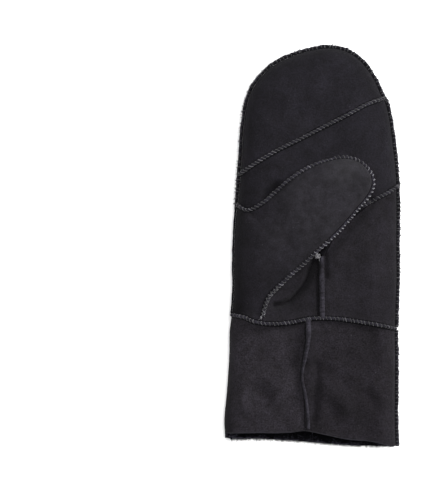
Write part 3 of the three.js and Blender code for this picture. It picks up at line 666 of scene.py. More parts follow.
# Materials
class Finish:
    """A Principled material and the nodes that feed it."""

    def __init__(self, name):
        self.material = bpy.data.materials.new(name)
        self.material.use_nodes = True
        self.tree = self.material.node_tree
        self.inputs = self.tree.nodes["Principled BSDF"].inputs
        self.coords = None

    def add(self, kind):
        return self.tree.nodes.new("ShaderNode" + kind)

    def join(self, value, socket):
        self.tree.links.new(value, socket)

    def set(self, **values):
        for name, value in values.items():
            self.inputs[name.replace("_", " ")].default_value = value

    def noise(self, scale, detail=3.0, rough=0.6):
        if self.coords is None:
            self.coords = self.add("TexCoord").outputs["Object"]
        node = self.add("TexNoise")
        node.inputs["Scale"].default_value = scale
        node.inputs["Detail"].default_value = detail
        node.inputs["Roughness"].default_value = rough
        self.join(self.coords, node.inputs["Vector"])
        return node.outputs["Fac"]

    def ramp(self, value, *stops):
        node = self.add("ValToRGB")
        self.join(value, node.inputs["Fac"])
        elements = node.color_ramp.elements
        while len(elements) < len(stops):
            elements.new(0.5)
        for element, (place, colour) in zip(elements, stops):
            element.position = place
            element.color = (*colour, 1.0)
        return node.outputs["Color"]

    def mixed(self, kind, a, b):
        node = self.add("Mix")
        node.data_type = "RGBA"
        node.blend_type = kind
        sockets = {(s.name, s.type): s for s in node.inputs}
        sockets["Factor", "VALUE"].default_value = 1.0
        for socket, value in ((sockets["A", "RGBA"], a), (sockets["B", "RGBA"], b)):
            if isinstance(value, tuple):
                socket.default_value = value
            else:
                self.join(value, socket)
        return next(s for s in node.outputs if s.type == "RGBA")

    def times(self, a, b):
        return self.mixed("MULTIPLY", a, b)

    def plus(self, a, b):
        return self.mixed("ADD", a, b)

    def finish(self, colour, *bumps):
        """Colour, and bumps of a height, strength and distance each. Gives the material."""
        self.join(colour, self.inputs["Base Color"])
        normal = None
        for height, strength, distance in bumps:
            node = self.add("Bump")
            node.inputs["Strength"].default_value = strength
            node.inputs["Distance"].default_value = distance
            self.join(height, node.inputs["Height"])
            if normal is not None:
                self.join(normal, node.inputs["Normal"])
            normal = node.outputs["Normal"]
        self.join(normal, self.inputs["Normal"])
        return self.material


def grey(value):
    return (value, value, value)


# Tints of the suede against its tone, and colours of the wool
DARK_TINT = (0.82, 0.755, 0.86)
LIGHT_TINT = (1.18, 1.08, 1.27)
SPECK_TINT = (0.63, 0.60, 0.68)
LINT = (0.020, 0.0193, 0.0213)
PILE_DARK = (0.0006, 0.0006, 0.0008)
PILE_LIGHT = (0.0046, 0.0044, 0.0058)
RUBBED_AND_LIT_FROM = 0.0325     # height in metres at which rubbing and painted highlight begin, and where they are full
RUBBED_AND_LIT_TO = 0.0435
FOLD_SHIFT = 0.1       # a ramp takes no places below 0


def suede(name, tone, nap=1.0, wear_and_highlight=0.0, cool=0.0, uneven=0.15, sides=(), fold_shade=(), highlight_spot=None,
          mottle=1.0):
    """Buffed skin: blotches, short nap, a few light hairs, rubbing and painted highlights on what
    stands up, painted shade on the sides and creases.
    """
    skin = Finish(name)
    broad = skin.noise(38, 4)
    blotch = skin.noise(160, 4, 0.65)
    fine = skin.noise(1000, 4, 0.75)
    grain = skin.noise(2600, 2, 0.7)
    hue = (1.0, 1 + 0.02 * cool, 1 + 0.065 * cool)
    dark, light = (tuple(tone * c * h for c, h in zip(tint, hue)) for tint in (DARK_TINT, LIGHT_TINT))
    colour = skin.ramp(broad, (0.34, dark), (0.66, light))
    low, high = 1 - uneven, 1 + uneven
    patch = skin.ramp(blotch, (0.30, (low, low, low * 0.96)), (0.70, (high, high, high * 1.04)))
    colour = skin.times(colour, patch)
    light_speck = tuple(1 + mottle * c for c in SPECK_TINT)
    colour = skin.times(colour, skin.ramp(fine, (0.30, grey(1 - 0.56 * mottle)), (0.72, light_speck)))
    colour = skin.plus(colour, skin.ramp(skin.noise(820, 0, 0.4), (0.84, grey(0)), (0.90, LINT)))
    split = skin.add("SeparateXYZ")
    skin.join(skin.coords, split.inputs["Vector"])
    # lighter where the skin stands highest: partly rubbing, partly painted highlight
    if wear_and_highlight:
        rubbed_and_lit = skin.ramp(split.outputs["Z"], (RUBBED_AND_LIT_FROM, grey(0)), (RUBBED_AND_LIT_TO, grey(wear_and_highlight)))
        scuff_and_highlight = skin.times(rubbed_and_lit, skin.ramp(blotch, (0.35, grey(0.55)), (0.68, grey(1.3))))
        colour = skin.plus(colour, skin.times(scuff_and_highlight, (1.0, 0.96, 1.06, 1.0)))
    # painted highlight: a lighter spot round a point, mottled by the blotches
    if highlight_spot:
        centre, reach, amount = highlight_spot
        away = skin.add("VectorMath")
        away.operation = "DISTANCE"
        away.inputs[1].default_value = centre
        skin.join(skin.coords, away.inputs[0])
        spot = skin.ramp(away.outputs["Value"], (0.2 * reach, grey(amount)), (reach, grey(0)))
        colour = skin.plus(colour, skin.times(spot, patch))
    # painted shade: darker on the rolled sides, by height over the floor
    if sides:
        colour = skin.times(colour, skin.ramp(
            split.outputs["Z"], *[(place, grey(share)) for place, share in sides]))
    # painted shade: darker across in x, in the gap by the heel seam and at the thumb side's edge
    if fold_shade:
        place = skin.add("Math")
        place.operation = "ADD"
        place.inputs[1].default_value = FOLD_SHIFT
        skin.join(split.outputs["X"], place.inputs[0])
        colour = skin.times(colour, skin.ramp(
            place.outputs[0], *[(FOLD_SHIFT + x, grey(share)) for x, share in fold_shade]))
    skin.set(Roughness=0.95, Specular_IOR_Level=0.04, Sheen_Weight=0.02, Sheen_Roughness=0.6,
             Sheen_Tint=(0.86, 0.84, 0.92, 1))
    return skin.finish(colour, (blotch, 0.45, 0.0012), (fine, 0.7 * nap, 0.0005),
                       (grain, 0.7 * nap, 0.0002))


def pile_material(name, lighter=1.0):
    pile = Finish(name)
    curl = pile.noise(380, 5, 0.75)
    low, high = (tuple(lighter * c for c in tint) for tint in (PILE_DARK, PILE_LIGHT))
    pile.set(Roughness=0.95, Specular_IOR_Level=0.02)
    return pile.finish(pile.ramp(curl, (0.35, low), (0.72, high)), (curl, 1.0, 0.0015))


def thread_material(name, colour):
    thread = Finish(name)
    twist = thread.noise(1500, 2)
    low, high = (tuple(share * c for c in colour) for share in (0.75, 1.25))
    thread.set(Roughness=0.6, Sheen_Weight=0.2)
    return thread.finish(thread.ramp(twist, (0.3, low), (0.7, high)), (twist, 0.4, 0.0002))


# Painted shade: height over the floor in metres against a share of the colour, darkening the rolled
# sides, and for a fold the same across, darkening the gap by the heel seam and the thumb side's edge
HAND_SIDE_SHADE = ((0.006, 1.0), (0.011, 0.55), (0.0170, 0.55), (0.021, 0.80), (0.0265, 1.0))
CUFF_SIDE_SHADE = ((0.003, 1.0), (0.008, 0.70), (0.012, 0.60), (0.0165, 0.86), (0.020, 1.0))
CUFF_PALM_SIDE_SHADE = ((0.003, 1.0), (0.008, 0.70), (0.012, 0.60), (0.0165, 0.80), (0.021, 0.90),
                   (0.024, 1.0))
GUSSET_FOLD_SHADE = ((0.0005, 1.0), (0.0028, 0.55), (0.0046, 0.35))
CUFF_FOLD_SHADE = ((-0.0675, 0.34), (-0.0635, 0.76), (-0.060, 1.0))
THUMB_FOLD_SHADE = ((-0.0635, 0.24), (-0.0580, 0.36), (-0.0545, 0.62), (-0.0505, 0.92), (-0.046, 1.0))
THUMB_HIGHLIGHT_SPOT = ((0.023, 0.0587, 0.040), 0.020, 0.0048)     # painted highlight on the thumb: place, reach and how much lighter
SUEDE = suede("suede", 0.0088, sides=HAND_SIDE_SHADE, mottle=1.15)
UPPER_SUEDE = suede("suede_upper", 0.0077, cool=1.0, sides=HAND_SIDE_SHADE)
CUFF_SUEDE = suede("suede_cuff", 0.0122, sides=CUFF_SIDE_SHADE, cool=-0.4, uneven=0.20, mottle=1.5,
                   fold_shade=CUFF_FOLD_SHADE)
CUFF_PALM_SUEDE = suede("suede_cuff_palm", 0.0088, cool=-0.5, uneven=0.20, mottle=1.55,
                        sides=CUFF_PALM_SIDE_SHADE)
THUMB_SUEDE = suede("suede_thumb", 0.0078, wear_and_highlight=0.0053, cool=0.7, sides=HAND_SIDE_SHADE, highlight_spot=THUMB_HIGHLIGHT_SPOT,
                    fold_shade=THUMB_FOLD_SHADE)
# the cut edges and the crowns of the sewn seams: lighter partly by the raw edge's own colour, partly as
# painted highlight
EDGE_HIGHLIT_SUEDE = suede("suede_cut_edge_painted_highlight", 0.0132, 1.4, cool=1.6, uneven=0.45)
# painted highlight: the rolled seams are the same black suede, coloured lighter on their crowns
ROLLED_HIGHLIT_SUEDE = suede("suede_rolled_seam_painted_highlight", 0.0175, 1.6, cool=0.8, uneven=0.60)
SIDE_SUEDE = suede("suede_side_seam", 0.0100, 1.4, cool=1.6, uneven=0.70)
GUSSET_SUEDE = suede("suede_gusset", 0.0088, sides=HAND_SIDE_SHADE, mottle=1.15, fold_shade=GUSSET_FOLD_SHADE)
# painted shade: near-black suede for the seams' feet, where their shadow falls
SEAM_SHADE = suede("suede_painted_seam_shade", 0.0018, 1.4, cool=2.5)
FLEECE = pile_material("fleece_inside", 0.6)
WOOL_STRANDS = pile_material("wool_strands", 1.0)
WOOL_TIPS = pile_material("wool_tips", 22.0)
THREAD = thread_material("black_thread", (0.0090, 0.0087, 0.0100))
# painted highlight: black thread coloured light grey, for stitches that catch the light
HIGHLIT_THREAD = thread_material("black_thread_painted_highlight", (0.040, 0.038, 0.044))
# painted highlight: the thumb's free-edge stitches, black thread coloured pale grey where they face the
# light
THUMB_HIGHLIT_THREAD = thread_material("black_thread_thumb_painted_highlight", (0.070, 0.068, 0.077))
# painted highlight: the knot's black thread coloured pale grey
KNOT_HIGHLIT_THREAD = thread_material("knotted_thread_painted_highlight", (0.080, 0.077, 0.084))
SIDE_THREAD = thread_material("black_thread_side", (0.016, 0.0155, 0.018))


def skins(top):
    return [top, FLEECE, EDGE_HIGHLIT_SUEDE]


def dress(piece, slot, *nodes):
    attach(piece, "root")
    if nodes:
        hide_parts(*nodes)


def body_slab(name, points, on_back, side, top=SUEDE):
    normal = body_normal(points[..., :2], on_back)
    dress(slab(name, points, points - normal * SKIN, side, skins(top)), "suede", name)


# Shares left open beside the seams
SMALL = 0.0018
TIP_CORNERS = 0.012
u, v = grid(190, 80, u_range=(TIP_CORNERS, 1 - TIP_CORNERS), v_range=(SMALL, 1))
body_slab("palm_tip_panel", on_palm(tip_region(u, v)), False, 1, UPPER_SUEDE)
u, v = grid(190, 80, v_range=(SMALL, 1 - SMALL))
body_slab("palm_middle_panel", on_palm(middle_region(half_turn(u), v)), False, 1, UPPER_SUEDE)
u, v = grid(100, 130, v_range=(SMALL, 1 - SMALL))
body_slab("palm_lower_panel", on_palm(lower_region(quarter_turn(u), v)), False, 1)
u, v = grid(130, 130)
body_slab("hand_back_panel", hand_back(u, v ** 1.2), True, -1)


# The thumb's skins, mitred where they meet
def seam_out(u, upper):
    u = np.asarray(u, float)
    end = 0 if upper else 1
    here = rib_ends(u)
    step = 0.004
    along = unit(rib_ends(np.minimum(u + step, 1))[end] - rib_ends(np.maximum(u - step, 0))[end])
    away = np.stack([-along[..., 1], along[..., 0]], -1) * (1 if upper else -1)
    nose = (np.clip((u - 0.93) / 0.07, 0, 1) ** 2)[..., None]
    axis = unit(here[0] - here[1])
    away = unit(mix(away, np.stack([axis[..., 1], -axis[..., 0]], -1), nose))
    free = np.minimum(1, 1.1 * rib_value(OUTER_LIFT if upper else INNER_LIFT, u))[..., None]
    level = np.concatenate([away, np.zeros(away.shape[:-1] + (1,))], -1)
    return unit(mix(body_normal(here[end], False), level, free))


def thumb_slab(name, points, side, first, last, top):
    normal = grid_normals(points, side)
    normal[:, 0] = first
    normal[:, -1] = last
    dress(slab(name, points, points - normal * SKIN, side, skins(top)), "suede", name)


u, v = grid(200, 90, u_range=(0.0012, 1), v_range=(0, 0.9988))
points = thumb_front(u, v)
row = u[:, 0]
side_part = (row * LAST_RIB < SIDE_ROWS)[:, None]
first = np.where(side_part, body_normal(points[:, 0, :2], False), seam_out(row, True))
thumb_slab("thumb_front_panel", points, -1, first, seam_out(row, False), THUMB_SUEDE)
u, v = grid(90, 44, u_range=(0.002, 1))
row = mix(THUMB_START, 1.0, u[:, 0])
thumb_slab("thumb_back_panel", thumb_back(u, v), 1, seam_out(row, True), seam_out(row, False), SUEDE)
u, v = grid(90, 70, u_range=(0.003, 0.996), v_range=(0.004, 0.993))
points = gusset(u, v)
thumb_slab("gusset_panel", points, -1, seam_out(GUSSET_END * u[:, 0], False),
           body_normal(points[:, -1, :2], False), GUSSET_SUEDE)

# Cuff: one skin from the palm seam round the thumb side and over the back, one on the palm
TURN = 64
HEM_SLANT = 1.0        # the hem's cut edge is sheared, so it shows from above
down = np.linspace(0.0016, 1, 91)
palm_u = (1 - quarter_turn(np.linspace(0, 1, TURN, endpoint=False)))
back_u = half_turn(np.linspace(0, 1, 130))
s, v = np.meshgrid(palm_u, down, indexing="ij")
palm_xy = cuff_plan(cuff_seam_share(v) * s - 0.0012 * s, False, v)
s, v = np.meshgrid(back_u, down, indexing="ij")
back_xy = cuff_plan(s, True, v)
points = np.concatenate([at_height(palm_xy, palm_height(palm_xy)),
                         at_height(back_xy, back_height(back_xy))])
normal = np.concatenate([body_normal(palm_xy, False), body_normal(back_xy, True)])
inner = points - normal * SKIN
inner[:TURN, -1, 1] -= HEM_SLANT
dress(slab("cuff_wrap_panel", points, inner, 1, skins(CUFF_SUEDE)), "suede", "cuff_wrap_panel")
s, v = np.meshgrid(quarter_turn(np.linspace(0.001, 1, 80)), down, indexing="ij")
share = cuff_seam_share(v) + 0.0012
xy = cuff_plan(mix(share, 1.0, s), False, v)
points = on_palm(xy)
inner = points - body_normal(xy, False) * SKIN
inner[:, -1, 1] -= HEM_SLANT
dress(slab("cuff_palm_panel", points, inner, -1, skins(CUFF_PALM_SUEDE)), "suede", "cuff_palm_panel")


# Seams: two raw edges standing together, pulled in by the stitches
STATION = 0.4          # from one station of a seam to the next
ROUGH = 1.1            # from one rough spot of its skins to the next
ROUGH_BROAD = 5        # rough spots in a broad one
LOWEST_PULLED = 1.3    # a lower seam isn't pulled in by its stitches
LOWEST_SEWN = 1.6      # a lower seam shows no stitches
UPRIGHT = 0.35         # share of their slant that the painted-highlight stitches on a free edge keep
THUMB_YARN = 1.6       # and how much thicker they look
THUMB_REACH = 0.52     # and how far up the ridge they begin
STATIONS_TRIED = 3000


def along_run(place, run, values):
    return np.stack([np.interp(place, run, values[:, k]) for k in range(3)], -1)


def walk(path):
    """Stations at even steps along a path that gives feet and ways out."""
    share = np.linspace(0, 1, STATIONS_TRIED)
    foot, out = path(share)
    run = np.concatenate([[0], np.cumsum(np.linalg.norm(np.diff(foot, axis=0), axis=1))])
    steps = max(8, int(run[-1] / STATION))
    even = np.linspace(0, run[-1], steps + 1)
    foot = along_run(even, run, foot)
    along = unit(np.gradient(foot, axis=0))
    across = unit(np.cross(along, unit(along_run(even, run, out))))
    return even, foot, along, across, unit(np.cross(across, along)), np.interp(even, run, share)


# Sections: across as a share of the width, out as one of the height
RIDGE = np.array([
    [-0.74, 0.06], [-0.54, 0.05], [-0.43, 0.20], [-0.37, 0.56], [-0.31, 0.82], [-0.18, 0.99],
    [-0.04, 0.92], [0.04, 0.92], [0.18, 0.99], [0.31, 0.82], [0.37, 0.56], [0.43, 0.20],
    [0.54, 0.05], [0.74, 0.06]])
ROLL_OVER = np.array([
    [-0.50, -0.50], [-0.58, 0.10], [-0.57, 0.45], [-0.46, 0.74], [-0.27, 0.93], [-0.05, 1.00],
    [0.12, 0.96], [0.28, 0.84], [0.42, 0.64], [0.54, 0.38], [0.66, 0.05], [0.80, -0.50]])
SHADE_FACES = 2          # faces at either foot that take the near-black painted shade of the seam
STITCH_WIDTH = 0.36    # how far out over the ridge a stitch goes, as a share of its width


def plain(value):
    return lambda share: value + 0 * share


def seam(name, path, height=plain(SEAM_HEIGHT), width=plain(SEAM_WIDTH), closed=False, seed=1,
         section=RIDGE, crown=EDGE_HIGHLIT_SUEDE, thread=THREAD, highlit_thread=HIGHLIT_THREAD, highlit=plain(0.2),
         crossed=lambda share: False, lean=1.9, shallow=0.30, yarn=0.30, untidy=0.4, shaded_until=0.0,
         shade_faces=SHADE_FACES, uneven=0.06):
    """A ridge of two skins along a path, and its overcast stitches.

    The highlight chance is how often a stitch takes the painted-highlight thread, black thread coloured
    light for its highlight. Where it is 1 the stitches stand upright, as on a free edge.
    """
    run, foot, along, across, up, share = walk(path)
    if closed:
        run, foot, along, across, up, share = (a[:-1] for a in (run, foot, along, across, up, share))
    source = np.random.default_rng(seed)
    spots = np.arange(0, run[-1] + 2, ROUGH)
    rough = np.interp(run, spots, source.uniform(-1, 1, len(spots)))
    spots = spots[::ROUGH_BROAD]
    broad_rough = np.interp(run, spots, source.uniform(-1, 1, len(spots)))
    slant = lean * np.clip(section[:, 0] / (2 * STITCH_WIDTH), -0.5, 0.5)
    drift = 0.0 if thread else 0.9 * broad_rough[:, None]
    pull = (0.5 - 0.5 * np.cos(2 * math.pi * (run[:, None] + drift - slant) / STITCH)) ** 2
    pull = shallow * pull * np.clip((height(share) - LOWEST_PULLED) / 0.8, 0, 1)[:, None]
    tall = height(share) * (1 + uneven * (rough + 1.3 * broad_rough))
    tall = tall[:, None] * (1 - pull) + GAP
    wide = width(share)[:, None] * (0.92 + 0.9 * uneven * broad_rough[:, None] - 0.5 * pull)
    lines = foot[:, None] + across[:, None] * (section[None, :, :1] * wide[..., None])
    lines = lines + up[:, None] * (section[None, :, 1:] * tall[..., None])
    faces = lattice(len(foot), len(section), 0, closed)
    bands = len(section) - 1
    band = np.arange(len(faces)) % bands
    # painted shade: the faces at the ridge's feet take the near-black seam material
    low = (band < shade_faces) | (band >= bands - shade_faces)
    # painted shade: the whole ridge is near-black up to the given share, where it lies under the thumb
    low |= share[np.arange(len(faces)) // bands] < shaded_until
    ridge = mesh_object(name, lines.reshape(-1, 3), faces[:, ::-1], [crown, SEAM_SHADE], low.astype(int))
    dress(ridge, "seam", name)
    if thread is None:
        return

    # each stitch leans over the ridge and goes through the skins on both sides of it
    tubes, highlit_tubes = [], []
    turn = np.linspace(0, 1, 10)
    for start in np.arange(0.5 * STITCH, run[-1] - 0.3 * STITCH, STITCH):
        middle = np.interp(start, run, share)
        if height(middle) < LOWEST_SEWN or middle < shaded_until:
            continue
        slants = [1, -1] if crossed(middle) else [1]
        free = highlit(middle) == 1
        start = start + source.normal(0, 0.25 * untidy)
        for slant in slants:
            upright = UPRIGHT if free else 1.0
            place = start + (turn - 0.5) * slant * lean * upright * source.uniform(0.85, 1.15)
            high = (np.interp(start, run, tall.mean(1)) if slant > 0
                    else np.interp(place, run, tall.max(1)))
            broad = np.interp(place, run, wide.mean(1)) * (1.25 if len(slants) > 1 else 1.0)
            angle = math.pi * turn
            centre = along_run(place, run, foot)
            out = -np.cos(angle) * (STITCH_WIDTH * broad + 0.10)
            centre = centre + along_run(place, run, across) * out[:, None]
            over = high + 0.05 + source.uniform(-0.15, 0.35) * untidy
            rise = mix(THUMB_REACH if free else 0.0, 1.0, np.sin(angle) ** 0.6)
            centre = centre + along_run(place, run, up) * (rise * over)[:, None]
            # painted highlight: by chance a stitch takes the light-coloured thread
            to = highlit_tubes if source.uniform() < highlit(middle) else tubes
            to.append(tube(centre, yarn * source.uniform(0.8, 1.2) * (THUMB_YARN if free else 1.0)))
    dress(joined(name + "_stitches", tubes, thread), "seam")
    if highlit_tubes:
        dress(joined(name + "_highlit_stitches", highlit_tubes, highlit_thread), "seam")


def tube(centre, radius, sides=5):
    along = unit(np.gradient(centre, axis=0))
    guide = np.array([0.31, 0.17, 0.93])
    a = unit(np.cross(along, guide))
    b = np.cross(along, a)
    angle = 2 * math.pi * np.arange(sides) / sides
    ring = a[:, None] * np.cos(angle)[None, :, None] + b[:, None] * np.sin(angle)[None, :, None]
    radius = np.broadcast_to(radius, (len(centre),))
    return centre[:, None] + ring * radius[:, None, None]


def joined(name, tubes, material):
    points, faces = [], []
    count = 0
    for rings in tubes:
        n, sides = rings.shape[:2]
        i, j = np.meshgrid(np.arange(n - 1), np.arange(sides), indexing="ij")
        a = i * sides + j
        b = i * sides + (j + 1) % sides
        faces.append((np.stack([a, b, b + sides, a + sides], -1) + count).reshape(-1, 4))
        points.append(rings.reshape(-1, 3))
        count += n * sides
    return mesh_object(name, np.concatenate(points), np.concatenate(faces), [material])


def palm_path(curve, start, end):
    def path(share):
        xy = curve(mix(start, end, share))
        return on_palm(xy), body_normal(xy, False)
    return path


def side_path(start, end):
    def path(share):
        xy = outline(mix(start, end, share))
        way = nearest(xy)[1]
        return at_height(xy, np.full(len(xy), EDGE)), np.concatenate([-way, np.zeros((len(xy), 1))], -1)
    return path


def thumb_path(share):
    turn = 0.47
    upper = share < turn
    u = np.where(upper, mix((SIDE_ROWS + 0.1) / LAST_RIB, 1.0, share / turn),
                 mix(1.0, 0.35 / LAST_RIB, (share - turn) / (1 - turn)))
    outer, inner = rib_ends(u)
    xy = np.where(upper[:, None], outer, inner)
    lift = np.where(upper, rib_value(OUTER_LIFT, u), rib_value(INNER_LIFT, u))
    out = np.where(upper[:, None], seam_out(u, True), seam_out(u, False))
    return at_height(xy, palm_height(xy) + lift * THUMB_LIFT + GAP / 2), out


def wrist_path(share):
    on_back = share >= 0.5
    lateral = np.where(on_back, 1 - half_turn(2 * share - 1), half_turn(2 * share))
    x = wrist_x(lateral)
    xy = np.stack([x, seam_y(wrist_seam, x)], -1)
    z = np.where(on_back, back_height(xy) - GAP / 2, palm_height(xy) + GAP / 2)
    return at_height(xy, z), skin_normal(xy, on_back)


side_from = outline_share(wrist_seam(0.0))
side_to = outline_share(wrist_seam(1.0))
corner_share = outline_share(side_corner)
side_start = float(side_share(outline(side_from)[1] + 0.35 * SEAM_WIDTH, True))
side_end = float(side_share(outline(side_to)[1] + 0.35 * SEAM_WIDTH, False))
cuff_start = float(side_share(outline(side_to)[1] - 0.35 * SEAM_WIDTH, False))
cuff_end = float(side_share(palm_hem(1.0)[1] - 0.1 * SEAM_WIDTH, False))


def side_height(share):
    past = np.clip((mix(side_start, side_end, share) - corner_share + 0.02) / 0.04, 0, 1)
    return mix(FOLD_HEIGHT, SEAM_HEIGHT, past)


ROLLED = dict(crown=ROLLED_HIGHLIT_SUEDE, thread=None, lean=0.6, shallow=0.16, uneven=0.10)
DARK = dict(crown=SIDE_SUEDE, thread=SIDE_THREAD, lean=1.3, shallow=0.10, untidy=2.4, shade_faces=3,
            uneven=0.09, yarn=0.22)


def middle_height(share):
    return mix(0.8, SEAM_HEIGHT, np.clip((share - 0.50) / 0.06, 0, 1))


def wrist_height(share):
    off = np.abs((np.asarray(share) + 0.25) % 0.5 - 0.25)
    return mix(0.9, SEAM_HEIGHT, np.clip((off - 0.004) / 0.03, 0, 1))


def table(places, values):
    return lambda share: np.interp(share, places, values)


# The thumb's seam goes from its root over the tip and down its free edge to the wrist
seam("tip_seam", palm_path(tip_seam, 0.0, 1.0), lean=2.6, seed=11)
# the middle seam's half under the thumb is painted shade, near-black and unstitched
seam("middle_seam", palm_path(middle_seam, 0.02, 1.0), height=middle_height, lean=1.6, shaded_until=0.5,
     seed=12, crown=SIDE_SUEDE, untidy=1.2, highlit=plain(0.5))
seam("heel_seam", palm_path(heel_point, 0.0, 1.0), height=plain(2.5), width=table([0, 1], [4.0, 3.4]),
     section=(ROLL_OVER * [-1, 1])[::-1], seed=13, **ROLLED)
THUMB_SEAM_AT = [0.00, 0.20, 0.28, 0.48, 0.55, 0.78, 0.86, 1.00]
seam("thumb_seam", thumb_path, height=table(THUMB_SEAM_AT, [2.6, 2.5, 1.9, 1.8, 2.3, 2.4, 2.5, 2.5]),
     width=table(THUMB_SEAM_AT, [3.0, 2.9, 2.0, 1.8, 1.9, 2.1, 2.6, 2.8]),
     crossed=lambda share: share > 0.89, lean=2.7, yarn=0.28, seed=14, highlit_thread=THUMB_HIGHLIT_THREAD,
     highlit=table([0.0, 0.38, 0.46, 0.72, 0.78, 0.88, 1.0], [0.1, 0.2, 1.0, 1.0, 0.3, 0.12, 0.12]),
     untidy=0.7)
seam("wrist_seam", wrist_path, height=wrist_height, closed=True, lean=1.3, seed=15, untidy=1.3,
     highlit=table([0.10, 0.14, 0.24, 0.28], [0.12, 0.4, 0.4, 0.12]))
seam("cuff_seam", palm_path(cuff_seam, 0.0, 0.99), height=table([0, 1], [2.8, 1.9]),
     width=table([0, 0.45], [4.4, 2.3]), section=ROLL_OVER + [0.18, 0], seed=16, **ROLLED)
seam("cuff_side_seam", side_path(cuff_start, cuff_end), seed=17, **DARK)
seam("side_seam", side_path(side_start, side_end), height=side_height, seed=18, **DARK)


# Short fibres of the skins stand out of the raw side seams and the hem
FLOOR_CLEAR = 0.1


def fringe(name, path, per_mm, reach, seed):
    run, foot, _, across, up, _ = walk(path)
    source = np.random.default_rng(seed)
    fibres = []
    turn = np.linspace(0, 1, 4)
    for place in source.uniform(0.5, run[-1] - 0.5, int(run[-1] * per_mm)):
        out = along_run(place, run, up)
        root = along_run(place, run, foot) + along_run(place, run, across) * source.uniform(-0.9, 0.9)
        root = root + out * (reach * 0.75)
        way = out + source.normal(0, 0.45, 3)
        bend = source.normal(0, 0.25, 3)
        long = source.uniform(0.6, 1.5)
        line = root + np.outer(turn, way * long) + np.outer(turn ** 2, bend)
        line[:, 2] = np.maximum(line[:, 2], FLOOR_CLEAR)
        fibres.append(tube(line, np.linspace(0.11, 0.04, 4), 3))
    dress(joined(name, fibres, SUEDE), "seam")


def hem_path(share):
    lateral = mix(0.03, 0.97, share)
    xy = cuff_plan(lateral, True, np.ones(share.shape))
    z = back_height(xy) + 0.6 * SKIN
    return at_height(xy, z), np.tile([0.0, -1.0, 0.0], (len(xy), 1))


fringe("side_fibres", side_path(corner_share, side_end), 2.2, SEAM_HEIGHT, 51)
fringe("cuff_side_fibres", side_path(cuff_start, cuff_end), 3.0, SEAM_HEIGHT, 52)
fringe("hem_fibres", hem_path, 5.0, 0.0, 53)


# Wool at the mouth: a dense pile of curled strands on a fleece ground
def wool_ring(share, depth, under):
    """A place on the inside of the cuff: share 0 to 1 round it, mm in from the hem."""
    on_back = share >= 0.5
    lateral = np.where(on_back, half_turn(2 * share - 1), 1 - half_turn(2 * share))
    xy_palm = cuff_plan(lateral, False, np.ones(share.shape))
    xy_back = cuff_plan(lateral, True, np.ones(share.shape))
    xy = side_to_side(np.where(on_back, xy_back[..., 1], xy_palm[..., 1]) + depth, lateral)
    z = np.where(on_back, back_height(xy), palm_height(xy))
    normal = skin_normal(xy, on_back)
    return at_height(xy, z) - normal * np.asarray(under)[..., None], normal


RING = 260             # about the way round the mouth
TUFT = 9.0             # a tuft of lighter pile
GROUND = 0.62          # share of the pile's height that its ground fills
STRANDS = 5200
depth = np.linspace(WOOL_INSET, WOOL_INSET + WOOL_DEPTH, 34)
s, depth = np.meshgrid(np.arange(240) / 240, depth, indexing="ij")
ground, normal = wool_ring(s, depth, np.full(s.shape, SKIN + GAP))
tall = WOOL * mix(0.5, 1.0, np.abs(normal[..., 2])) * GROUND
curl = 0.3 * waves(np.stack([s * RING, depth], -1), 5, 21)
dress(slab("wool_lining", ground, ground - normal * (tall + curl)[..., None], -1,
           [FLEECE, WOOL_STRANDS, WOOL_STRANDS], True), "wool", "wool_lining")
source = np.random.default_rng(31)
s = source.uniform(0, 1, STRANDS)
depth = WOOL_INSET - 0.9 + (WOOL_DEPTH - 2) * source.uniform(0, 1, STRANDS) ** 2.2
root, normal = wool_ring(s, depth, np.full(STRANDS, SKIN + GAP + 0.2))
reach = WOOL * mix(0.45, 0.95, np.abs(normal[:, 2])) * source.uniform(0.75, 1.0, STRANDS)
tilt = source.normal(0, 0.55, (STRANDS, 3))
tilt[:, 1] -= 0.45
turn = np.linspace(0, 1, 6)
strands = []
for k in range(STRANDS):
    lean = tilt[k] - normal[k] * (tilt[k] @ normal[k])
    swirl = np.cross(normal[k], lean)
    up = -normal[k] * reach[k]
    path = root[k] + np.outer(turn, up) + np.outer(turn ** 1.6, lean) * 1.5
    path = path + np.outer(0.45 * np.sin(2 * math.pi * (turn * 1.2 + s[k] * 9)), unit(swirl + 1e-6))
    strands.append(tube(path, np.linspace(0.22, 0.07, 6), 3))
light = waves(np.stack([s * RING, depth], -1), TUFT, 33) > 0.0
dress(joined("wool_strands", [a for a, one in zip(strands, light) if not one], WOOL_STRANDS), "wool")
dress(joined("wool_light_strands", [a for a, one in zip(strands, light) if one], WOOL_TIPS), "wool")

# Thread ends knotted off where the thumb's seam meets the palm's and the wrist's
def knot(name, xy, lift, size, tail_to, seed):
    source = np.random.default_rng(seed)
    xy = np.asarray(xy, float)
    top = float(palm_height(xy)) + lift
    tubes = []
    for _ in range(3):
        turn = np.linspace(0, 1, 46)
        a, b = unit(source.normal(size=3)), unit(source.normal(size=3))
        b = unit(b - a * (a @ b))
        angle = 2 * math.pi * turn * 1.4 + source.uniform(0, 6)
        ball = a * np.cos(angle)[:, None] + b * np.sin(angle)[:, None]
        ball = ball * size * source.uniform(0.7, 1.0)
        tubes.append(tube(ball + [xy[0], xy[1], top], 0.34, 6))
    turn = np.linspace(0, 1, 12)
    tail = np.array([xy[0], xy[1], top]) + turn[:, None] * np.asarray(tail_to, float)
    tail[:, 0] += 0.35 * np.sin(4 * turn)
    tubes.append(tube(tail, np.linspace(0.3, 0.18, 12), 5))
    dress(joined(name, tubes, KNOT_HIGHLIT_THREAD), "seam")


knot("thumb_knot", [2.2, 147.6], THUMB_LIFT + 1.0, 2.1, [1.6, -4.0, -3.2], 41)
knot("wrist_knot", [-41.0, 100.4], SEAM_HEIGHT + 0.5, 0.95, [-1.6, -1.6, -1.2], 42)


# Floor, light and camera
FLOOR_GAP = 0.0002


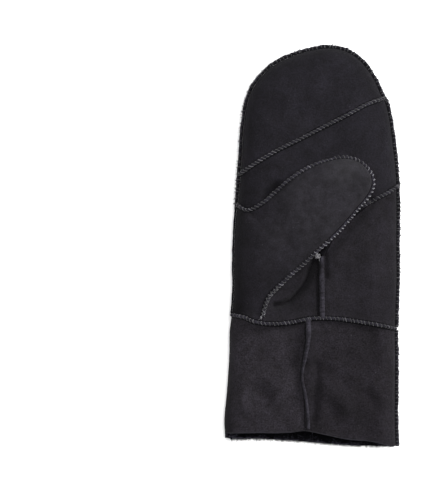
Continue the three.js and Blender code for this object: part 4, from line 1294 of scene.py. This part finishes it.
def stage():
    mesh = bpy.data.meshes.new("floor")
    reach = 4.0
    corners = [(-reach, -reach, 0), (reach, -reach, 0), (reach, reach, 0), (-reach, reach, 0)]
    mesh.from_pydata(corners, [], [(0, 1, 2, 3)])
    floor = bpy.data.objects.new("floor", mesh)
    floor.location.z = -FLOOR_GAP
    bpy.context.scene.collection.objects.link(floor)
    finish = Finish("floor")
    finish.set(Base_Color=(0.93, 0.93, 0.93, 1), Roughness=0.9, Specular_IOR_Level=0.0)
    mesh.materials.append(finish.material)


def area_light(name, place, size, power):
    light = bpy.data.lights.new(name, "AREA")
    light.shape = "SQUARE"
    light.size = size
    light.energy = power
    piece = bpy.data.objects.new(name, light)
    piece.location = place
    piece.rotation_euler = (Vector((0, 0, 0)) - Vector(place)).to_track_quat("-Z", "Y").to_euler()
    bpy.context.scene.collection.objects.link(piece)


stage()
area_light("soft_box_above", (0.0, 0.25, 2.5), 1.0, 78)
area_light("soft_box_right", (1.3, 0.75, 1.05), 0.6, 46)
world = bpy.data.worlds.new("studio")
world.use_nodes = True
world.node_tree.nodes["Background"].inputs["Color"].default_value = (1, 1, 1, 1)
world.node_tree.nodes["Background"].inputs["Strength"].default_value = 0.28
bpy.context.scene.world = world
bpy.context.scene.view_settings.view_transform = "Standard"
bpy.context.scene.view_settings.look = "None"

# The photograph looks straight down, centred to the left of this mitten
MM_PER_PIXEL = 0.775
PHOTO_HEIGHT = 494
PHOTO_MIDDLE = (215, 247)
ZERO_PIXEL = (313.5, 446.5)        # where this mitten's zero point lies in the photo
CAMERA_HEIGHT = 1800.0
SHARP_HEIGHT = 12.0
camera = bpy.data.cameras.new("camera")
camera.sensor_fit = "AUTO"
camera.sensor_width = 36.0
camera.lens = 36.0 * (CAMERA_HEIGHT - SHARP_HEIGHT) / (PHOTO_HEIGHT * MM_PER_PIXEL)
camera.clip_end = 20
eye = bpy.data.objects.new("camera", camera)
eye.location = to_metres([(PHOTO_MIDDLE[0] - ZERO_PIXEL[0]) * MM_PER_PIXEL,
                          (ZERO_PIXEL[1] - PHOTO_MIDDLE[1]) * MM_PER_PIXEL, CAMERA_HEIGHT])
bpy.context.scene.collection.objects.link(eye)
bpy.context.scene.camera = eye
